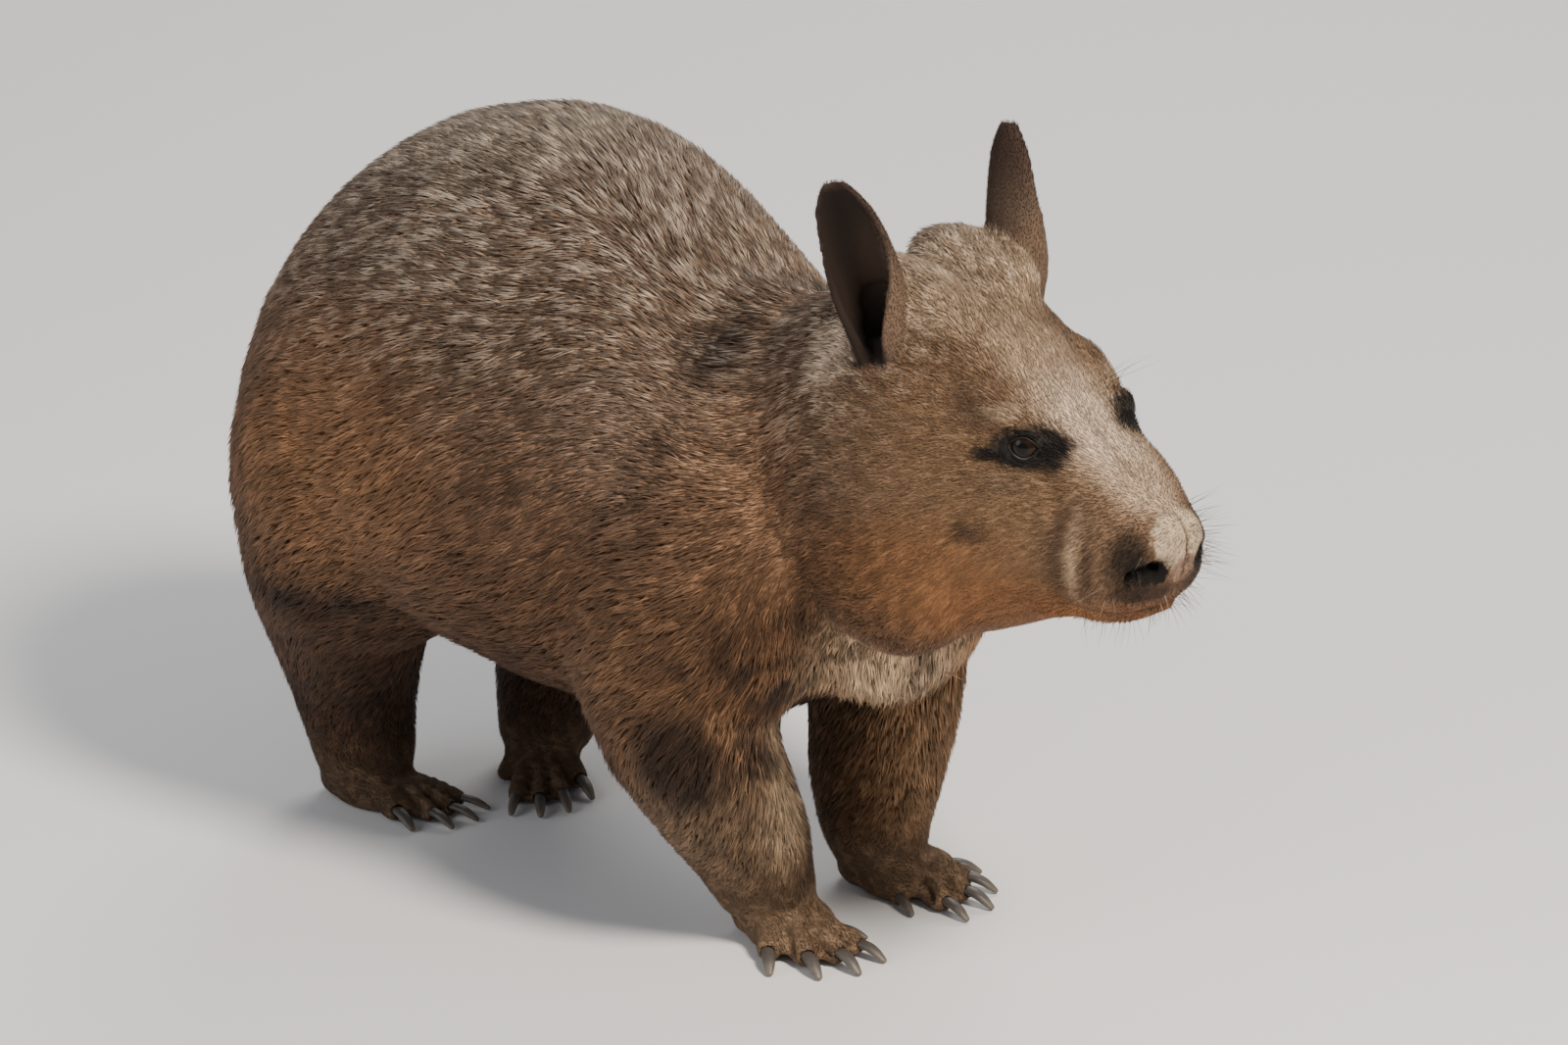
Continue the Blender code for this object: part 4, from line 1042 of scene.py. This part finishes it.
lengths = hair_length(centres, centre_ears)
wanted = np.interp(lengths, COVER_LENGTHS, COVER_TUFTS) * SKIN_AREAS
wanted *= 1 - bare_share(centres, centre_normals, centre_ears)
tufts_here = COAT_TUFTS * 1.0
print("tufts asked for", round(wanted.sum()), "of", round(tufts_here))
wanted *= tufts_here / wanted.sum()
running = np.concatenate(([0], np.cumsum(wanted)))
counts = np.floor(running[1:] + 0.5) - np.floor(running[:-1] + 0.5)
chosen = np.repeat(np.arange(len(counts)), counts.astype(int))
draw = np.random.default_rng(11)
u, v = draw.random(len(chosen)), draw.random(len(chosen))
over = u + v > 1
u[over], v[over] = 1 - u[over], 1 - v[over]
shares = np.column_stack((1 - u - v, u, v))


def blended_at_roots(values, corner_list):
    return (values[corner_list[chosen]] * shares[:, :, None]).sum(1)


ROOTS = blended_at_roots(SKIN_POINTS, SKIN_CORNERS)
ROOT_NORMALS = unit(blended_at_roots(SKIN_NORMALS, SKIN_CORNERS))
ROOT_MAP = blended_at_roots(SKIN_MAP, SKIN_LOOPS)
ROOT_EARS = blended_at_roots(ears[:, None], SKIN_CORNERS)[:, 0]
print(len(ROOTS), "roots")

# %% [markdown]
# ## Tufts
#
# One tuft is a narrow blade, pointed at root and tip, with four corners and four faces, the
# smallest closed body there is. Hair doesn't grow singly but in clumps whose tips draw
# together, so each tuft leans a little towards the tip of the nearest clump. A region's tufts are
# filled into a few meshes from arrays, each under the export's limit for a piece.

# %% One tuft, and the clumps they gather in
# Corners of one tuft: share of the length, of the width, of the thickness
TUFT = ((0.0, 0.0, 0.0), (0.42, -0.5, 0.0), (0.42, 0.5, 0.0), (1.0, 0.0, 0.5))
# Each tuft covers a patch this small on the picture of the skin, round its root
MAP_PATCH = np.array(((0, -0.0015), (-0.0015, 0), (0.0015, 0), (0, 0.0015)))

tuft_bm = bmesh.new()
for corner in TUFT:
    tuft_bm.verts.new(corner)
bmesh.ops.convex_hull(tuft_bm, input=tuft_bm.verts)
bmesh.ops.triangulate(tuft_bm, faces=tuft_bm.faces)
bmesh.ops.recalc_face_normals(tuft_bm, faces=tuft_bm.faces)
tuft_bm.verts.index_update()
TUFT_FACES = np.array([[vertex.index for vertex in face.verts] for face in tuft_bm.faces])
tuft_bm.free()

root_lengths = hair_length(ROOTS, ROOT_EARS)
directions = lie_of_coat(ROOTS, ROOT_NORMALS, ROOT_EARS)
jitter = draw.normal(size=(len(ROOTS), 3)) * 0.15
directions = unit(directions + jitter)
directions = unit(directions - ROOT_NORMALS * np.sum(directions * ROOT_NORMALS, axis=1)[:, None])
tuft_lengths = root_lengths * draw.uniform(0.72, 1.12, len(ROOTS))

# One tuft in nine leads a clump, and the others near it lean towards its tip
CLUMP, GATHER, CLUMP_REACH = 9, 0.45, 0.45
leaders = draw.choice(len(ROOTS), len(ROOTS) // CLUMP, replace=False)
leader_tree = KDTree(len(leaders))
for i, leader in enumerate(leaders):
    leader_tree.insert(ROOTS[leader] + directions[leader] * tuft_lengths[leader] * 0.5, i)
leader_tree.balance()
middles = ROOTS + directions * tuft_lengths[:, None] * 0.5
nearest = np.array([leaders[leader_tree.find(middle)[1]] for middle in middles])
leader_tips = ROOTS[nearest] + directions[nearest] * tuft_lengths[nearest][:, None]
own_tips = ROOTS + directions * tuft_lengths[:, None]
near_enough = np.linalg.norm(leader_tips - own_tips, axis=1) < CLUMP_REACH * root_lengths
gathered = own_tips + (leader_tips - own_tips) * (GATHER * near_enough)[:, None]
directions = unit(gathered - ROOTS)
directions = unit(directions - ROOT_NORMALS * np.sum(directions * ROOT_NORMALS, axis=1)[:, None])
clump_shade = draw.uniform(0, 1, len(ROOTS))[nearest]
print(len(leaders), "clumps of about", CLUMP, "tufts")

# %% Fill the coat's meshes
TUFTS_TO_A_PIECE = 48000


def joined_mesh(name, points, faces, material):
    """A mesh object of triangles, filled from arrays."""
    mesh = bpy.data.meshes.new(name)
    mesh.vertices.add(len(points))
    mesh.vertices.foreach_set("co", points.astype(np.float32).ravel())
    mesh.loops.add(faces.size)
    mesh.loops.foreach_set("vertex_index", faces.astype(np.int32).ravel())
    mesh.polygons.add(len(faces))
    mesh.polygons.foreach_set("loop_start", np.arange(0, faces.size, 3, dtype=np.int32))
    mesh.polygons.foreach_set("use_smooth", [True] * len(faces))
    mesh.update(calc_edges=True)
    mesh.materials.append(material)
    piece = bpy.data.objects.new(name, mesh)
    bpy.context.scene.collection.objects.link(piece)
    return piece


def grown(name, chosen_roots):
    """One piece of coat: a tuft at each of these roots."""
    roots, normals, ways = ROOTS[chosen_roots], ROOT_NORMALS[chosen_roots], directions[chosen_roots]
    acrosses = np.cross(normals, ways)
    length = tuft_lengths[chosen_roots]
    width = np.interp(length, TUFT_LENGTHS, TUFT_WIDTHS) * wide_draw[chosen_roots]
    rise = rises[chosen_roots]
    points = np.empty((len(roots), len(TUFT), 3))
    for i, (share, side, ridge) in enumerate(TUFT):
        # The tuft leaves the skin at a slant and bends back along it
        up = rise * (1.55 * share - 0.55 * share**2)
        points[:, i] = (
            roots + ways * (length * share)[:, None] + acrosses * (width * side)[:, None]
            + normals * (length * up + width * 0.42 * ridge)[:, None]
        )
    # No hair reaches through the ground
    points[:, :, 2] = np.maximum(points[:, :, 2], 0.0006)
    faces = (np.arange(len(roots)) * len(TUFT))[:, None, None] + TUFT_FACES[None]
    faces = faces.reshape(-1, 3)
    piece = joined_mesh(name, points.reshape(-1, 3), faces, COAT)
    field(piece.data, "root", np.repeat(roots, len(TUFT), axis=0))
    field(piece.data, "tip", np.tile([corner[0] for corner in TUFT], len(roots)))
    field(piece.data, "shade", np.repeat(shades[chosen_roots], len(TUFT)))
    field(piece.data, "ear", np.repeat(ROOT_EARS[chosen_roots], len(TUFT)))
    field(piece.data, "cup", np.repeat(ROOT_CUPS[chosen_roots], len(TUFT)))
    patches = (ROOT_MAP[chosen_roots][:, None] + MAP_PATCH[None]).reshape(-1, 2)
    bake_map = piece.data.uv_layers.new(name=BAKE_MAP)
    bake_map.data.foreach_set("uv", patches[faces.ravel()].astype(np.float32).ravel())
    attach(piece, "root")
    return piece


TUFT_LENGTHS = (0.0015, 0.004, 0.008, 0.014, 0.022)
TUFT_WIDTHS = (0.00034, 0.00042, 0.00058, 0.00084, 0.00100)
wide_draw = draw.uniform(0.7, 1.25, len(ROOTS))
rises = LIFT_SHARE * draw.uniform(0.55, 1.05, len(ROOTS))
shades = np.clip(0.5 * clump_shade + 0.5 * draw.uniform(0, 1, len(ROOTS)), 0, 1)
ROOT_CUPS = cup_share(ROOTS, ROOT_EARS)

root_local = head_frame(ROOTS)
of_ears = ROOT_EARS > 0.5
of_head = (root_local[:, 0] > 0.015) & (root_local[:, 2] > 0.235) & ~of_ears
of_feet = (ROOTS[:, 2] < 0.045) & ~of_head & ~of_ears
of_legs = (ROOTS[:, 2] < 0.15) & ~of_feet & ~of_head & ~of_ears
of_body = ~(of_ears | of_head | of_feet | of_legs)
REGIONS = (
    ("coat_ears", "ear_skin", of_ears),
    ("coat_head", "coat_head", of_head),
    ("coat_feet", "coat_feet", of_feet),
    ("coat_legs", "coat_legs", of_legs),
    ("coat_body", "coat_body", of_body),
)
for name, slot, inside in REGIONS:
    members = np.nonzero(inside)[0]
    members = members[np.argsort(-ROOTS[members, 0], kind="stable")]
    parts = max(1, math.ceil(len(members) / TUFTS_TO_A_PIECE))
    for number, share in enumerate(np.array_split(members, parts), 1):
        grown(f"{name}_{number}" if parts > 1 else name, share)
    print(name, len(members), "tufts in", parts, "pieces")

# %% [markdown]
# ## Eyes
#
# A wombat's eye is a small dark ball: brown iris, black pupil, and a moist front that catches the
# lamps. The ball is an icosphere whose front is drawn out a little as a cornea. The iris is
# painted by the angle from the direction of the look, and a clear coat stands for the tears.

# %% Eyeballs
IRIS_REACH, CORNEA_BULGE = 0.62, 0.0006
IRIS_BROWN, IRIS_DARK, PUPIL = (0.020, 0.009, 0.004), (0.006, 0.003, 0.002), (0.002, 0.002, 0.002)
EYE_WHITE = (0.055, 0.036, 0.030)


def eye_material(side):
    recipe = Recipe(f"eye_{side}")
    place = recipe.vector("SUBTRACT", recipe.node("TexCoord", out=3), tuple(EYE_CENTRES[side]))
    outwards = recipe.vector("NORMALIZE", place)
    facing = recipe.vector("DOT_PRODUCT", outwards, tuple(EYE_LOOKS[side]), out=1)
    streaks = recipe.noise(place, 1400.0, 3.0, 0.6)
    iris = recipe.mix(streaks, IRIS_BROWN, IRIS_DARK)
    colour = recipe.mix(recipe.step(facing, 0.93, 0.955), iris, PUPIL)
    white = recipe.step(facing, 0.66, 0.56)
    colour = recipe.mix(white, colour, EYE_WHITE)
    return recipe.finish(
        Base_Color=colour, Roughness=0.16 + 0.10 * white,
        Coat_Weight=0.5, Coat_Roughness=0.02, Coat_IOR=1.28, Specular_IOR_Level=0.12,
    )


for side, _ in SIDES:
    ball = bmesh.new()
    bmesh.ops.create_icosphere(ball, subdivisions=5, radius=EYE_RADIUS - 0.0002)
    for vertex in ball.verts:
        front = vertex.co.normalized().dot(EYE_LOOKS[side])
        bulge = max(0.0, (front - IRIS_REACH) / (1 - IRIS_REACH))
        vertex.co += vertex.co.normalized() * CORNEA_BULGE * bulge * (2 - bulge)
    bmesh.ops.translate(ball, verts=ball.verts, vec=EYE_CENTRES[side])
    eye = piece_of(f"eyeball_{side}", ball)
    eye.data.materials.append(eye_material(side))
    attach(eye, "root")
    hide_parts(f"eye_{side}")
    print("eyeball", side, len(eye.data.polygons), "faces")

# %% [markdown]
# ## Lid rims
#
# The edge of each lid is a moist, hairless roll, nearly black, with a pink corner towards the ear;
# along the lower lid a paler grey is a painted highlight of its wet edge. It is a thin tube that
# runs round the slit on the surface of the ball, made by bridging small rings.

# %% The rims of the lids
RIM_RADIUS, RIM_RINGS, RIM_SIDES = 0.00062, 56, 8
# The grey of the lower rim is a painted highlight of its wet edge
RIM_BLACK, RIM_PAINTED_HIGHLIGHT, RIM_PINK = (0.010, 0.007, 0.006), (0.055, 0.050, 0.054), (0.150, 0.055, 0.044)


def rim_point(side, turn):
    """A point on the ball above the edge of the slit."""
    along, up, look = eye_axes(side)
    wide, high = math.cos(turn), math.sin(turn)
    scale = float(almond_of(np.array(wide), np.array(high))) ** (-1 / 1.7) * 0.97
    flat = along * wide * scale * SLIT_HALF_WIDTH + up * high * scale * SLIT_HALF_HEIGHT
    ball = EYE_RADIUS + 0.00055
    return EYE_CENTRES[side] + flat + look * math.sqrt(max(ball**2 - flat.length_squared, 0))


def rim_material():
    recipe = Recipe("lid_rim")
    place = recipe.node("TexCoord", out=3)
    head_place = straight_head(recipe, place)
    # Paler grey along the lower lid: a painted highlight of its wet edge
    below = recipe.spot(head_place, *SPOTS["wet_lid_highlight"])
    corner = recipe.spot(head_place, *SPOTS["eye_corner"])
    colour = recipe.mix(below * 0.85, RIM_BLACK, RIM_PAINTED_HIGHLIGHT)
    colour = recipe.mix(corner * 0.9, colour, RIM_PINK)
    return recipe.finish(
        Base_Color=colour, Roughness=0.50, Specular_IOR_Level=0.25,
        Normal=recipe.bump(recipe.noise(place, 1500.0), 0.2, 0.0003),
    )


RIM = rim_material()
for side, _ in SIDES:
    rim = bmesh.new()
    rings = []
    for i in range(RIM_RINGS):
        turn = 2 * math.pi * i / RIM_RINGS
        here, after = rim_point(side, turn), rim_point(side, turn + 0.02)
        facing = (after - here).to_track_quat("Z", "Y").to_matrix().to_4x4()
        made = bmesh.ops.create_circle(
            rim, segments=RIM_SIDES, radius=RIM_RADIUS, matrix=Matrix.Translation(here) @ facing
        )
        rings.append({edge for vertex in made["verts"] for edge in vertex.link_edges})
    for ring, following in zip(rings, rings[1:] + rings[:1]):
        bmesh.ops.bridge_loops(rim, edges=list(ring | following))
    bmesh.ops.recalc_face_normals(rim, faces=rim.faces)
    rim_piece = piece_of(f"lid_rim_{side}", rim)
    rim_piece.data.materials.append(RIM)
    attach(rim_piece, "root")
    print("lid rim", side, len(rim_piece.data.polygons), "faces")

# %% [markdown]
# ## Claws
#
# The claws are worn digging tools of dark horn with paler, scratched tips. Their solids have the
# right shape and few faces, so each is copied, merged and rounded by a Subdivision Surface, and
# only the finish is new: growth lines across, fine scratches along.

# %% Horn for the claws
HORN_DARK, HORN_PALE, HORN_WORN = (0.034, 0.031, 0.030), (0.100, 0.086, 0.072), (0.200, 0.158, 0.112)


def claw_material():
    recipe = Recipe("horn")
    place = recipe.node("TexCoord", out=3)
    scratched = recipe.node("Mapping", {}, {"Vector": place, "Scale": (90.0, 900.0, 900.0)})
    scratches = recipe.noise(scratched, 1.0, 3.0, 0.6)
    ringed = recipe.node("Mapping", {}, {"Vector": place, "Scale": (700.0, 60.0, 120.0)})
    rings = recipe.noise(ringed, 1.0, 2.0)
    low = recipe.step(height_of(recipe, place), 0.0095, 0.0015)
    wear = recipe.noise(place, 240.0, 2.0)
    colour = recipe.mix(scratches, HORN_DARK, HORN_PALE)
    colour = recipe.mix(low * wear * 1.1, colour, HORN_WORN)
    height = scratches * 0.6 + rings * 0.4
    return recipe.finish(
        Base_Color=colour, Roughness=0.34 + 0.26 * scratches, Specular_IOR_Level=0.5,
        Normal=recipe.bump(height, 0.40, 0.0005),
    )


HORN = claw_material()
claw_nodes = sorted(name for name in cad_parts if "claw" in name)
for node in claw_nodes:
    claw = piece_of(f"horn_{node}", merged_copy(node))
    rounding = claw.modifiers.new("rounding", "SUBSURF")
    rounding.levels = rounding.render_levels = 2
    settled(claw)
    claw.data.materials.clear()
    claw.data.materials.append(HORN)
    claw.data.polygons.foreach_set("use_smooth", [True] * len(claw.data.polygons))
    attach(claw, "root")
    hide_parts(node)
print(len(claw_nodes), "claws")

# %% [markdown]
# ## Whiskers
#
# Dark, springy whiskers stand on the lips, the chin and cheeks and over the eyes. Each is a thin
# three-sided cone with its root on the skin. It stands out to the side and curves a little back,
# and the longest are over the eyes.

# %% Whiskers
WHISKER_BEDS = (
    # name, middle on the straight head, spread, how many on a side, length
    ("upper_lip", (0.198, 0.030, 0.283), (0.012, 0.008, 0.012), 44, 0.024),
    ("nose_side", (0.210, 0.024, 0.302), (0.006, 0.006, 0.014), 26, 0.022),
    ("chin", (0.188, 0.016, 0.250), (0.016, 0.014, 0.006), 26, 0.017),
    ("lip_front", (0.208, 0.010, 0.268), (0.006, 0.010, 0.006), 20, 0.016),
    ("brow", (0.140, 0.030, 0.362), (0.006, 0.004, 0.003), 6, 0.034),
    ("cheek", (0.112, 0.078, 0.288), (0.010, 0.006, 0.008), 5, 0.024),
)
WHISKER_STATIONS, WHISKER_RADIUS = 7, 0.00017


def whisker_material():
    recipe = Recipe("whisker")
    tip = recipe.attribute("tip")
    shade = recipe.attribute("shade")
    colour = recipe.mix(recipe.step(shade, 0.96, 0.98), (0.012, 0.008, 0.006), (0.42, 0.34, 0.26))
    return recipe.finish(Base_Color=colour, Roughness=0.32 + 0.15 * tip, Specular_IOR_Level=0.5)


skin_tree = BVHTree.FromPolygons([Vector(p) for p in SKIN_POINTS], SKIN_CORNERS.tolist())
draw = np.random.default_rng(29)
whisker_points, whisker_faces, whisker_tips, whisker_shades = [], [], [], []
for _, middle, spread, number, length in WHISKER_BEDS:
    for side, sign in SIDES:
        for _ in range(number):
            x, y, z = np.array(middle) + draw.uniform(-1, 1, 3) * np.array(spread)
            root, normal, _, _ = skin_tree.find_nearest(on_head(x, y * sign, z))
            away = HEAD_TURN @ Vector((0.20, 0.55 * sign, -0.25))
            way = (normal * 0.9 + away * 0.6 + Vector(draw.normal(size=3)) * 0.22).normalized()
            bend = (HEAD_TURN @ Vector((-0.5, 0, -0.3))) * draw.uniform(0.05, 0.40)
            whisker_length = length * draw.uniform(0.55, 1.15)
            first = way.cross(Vector((0, 0, 1))).normalized()
            second = way.cross(first)
            start = len(whisker_points)
            thickness = WHISKER_RADIUS * draw.uniform(0.7, 1.2)
            shade_here = draw.random()
            for station in range(WHISKER_STATIONS):
                share = station / (WHISKER_STATIONS - 1)
                middle_here = root - normal * 0.001 + (way + bend * share) * whisker_length * share
                radius = thickness * (1 - share * 0.92)
                for corner in range(3):
                    turn = 2 * math.pi * corner / 3
                    around = first * math.cos(turn) + second * math.sin(turn)
                    whisker_points.append(middle_here + around * radius)
                    whisker_tips.append(share)
                    whisker_shades.append(shade_here)
                if station:
                    ring = start + station * 3
                    for corner in range(3):
                        near, far = ring + corner, ring + (corner + 1) % 3
                        whisker_faces += [(near - 3, far - 3, far), (near - 3, far, near)]
            last = start + (WHISKER_STATIONS - 1) * 3
            whisker_faces += [(start, start + 2, start + 1), (last, last + 1, last + 2)]
whiskers = joined_mesh("whiskers", np.array(whisker_points), np.array(whisker_faces), whisker_material())
field(whiskers.data, "tip", np.array(whisker_tips))
field(whiskers.data, "shade", np.array(whisker_shades))
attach(whiskers, "root")
print(len(whisker_points) // (3 * WHISKER_STATIONS), "whiskers")
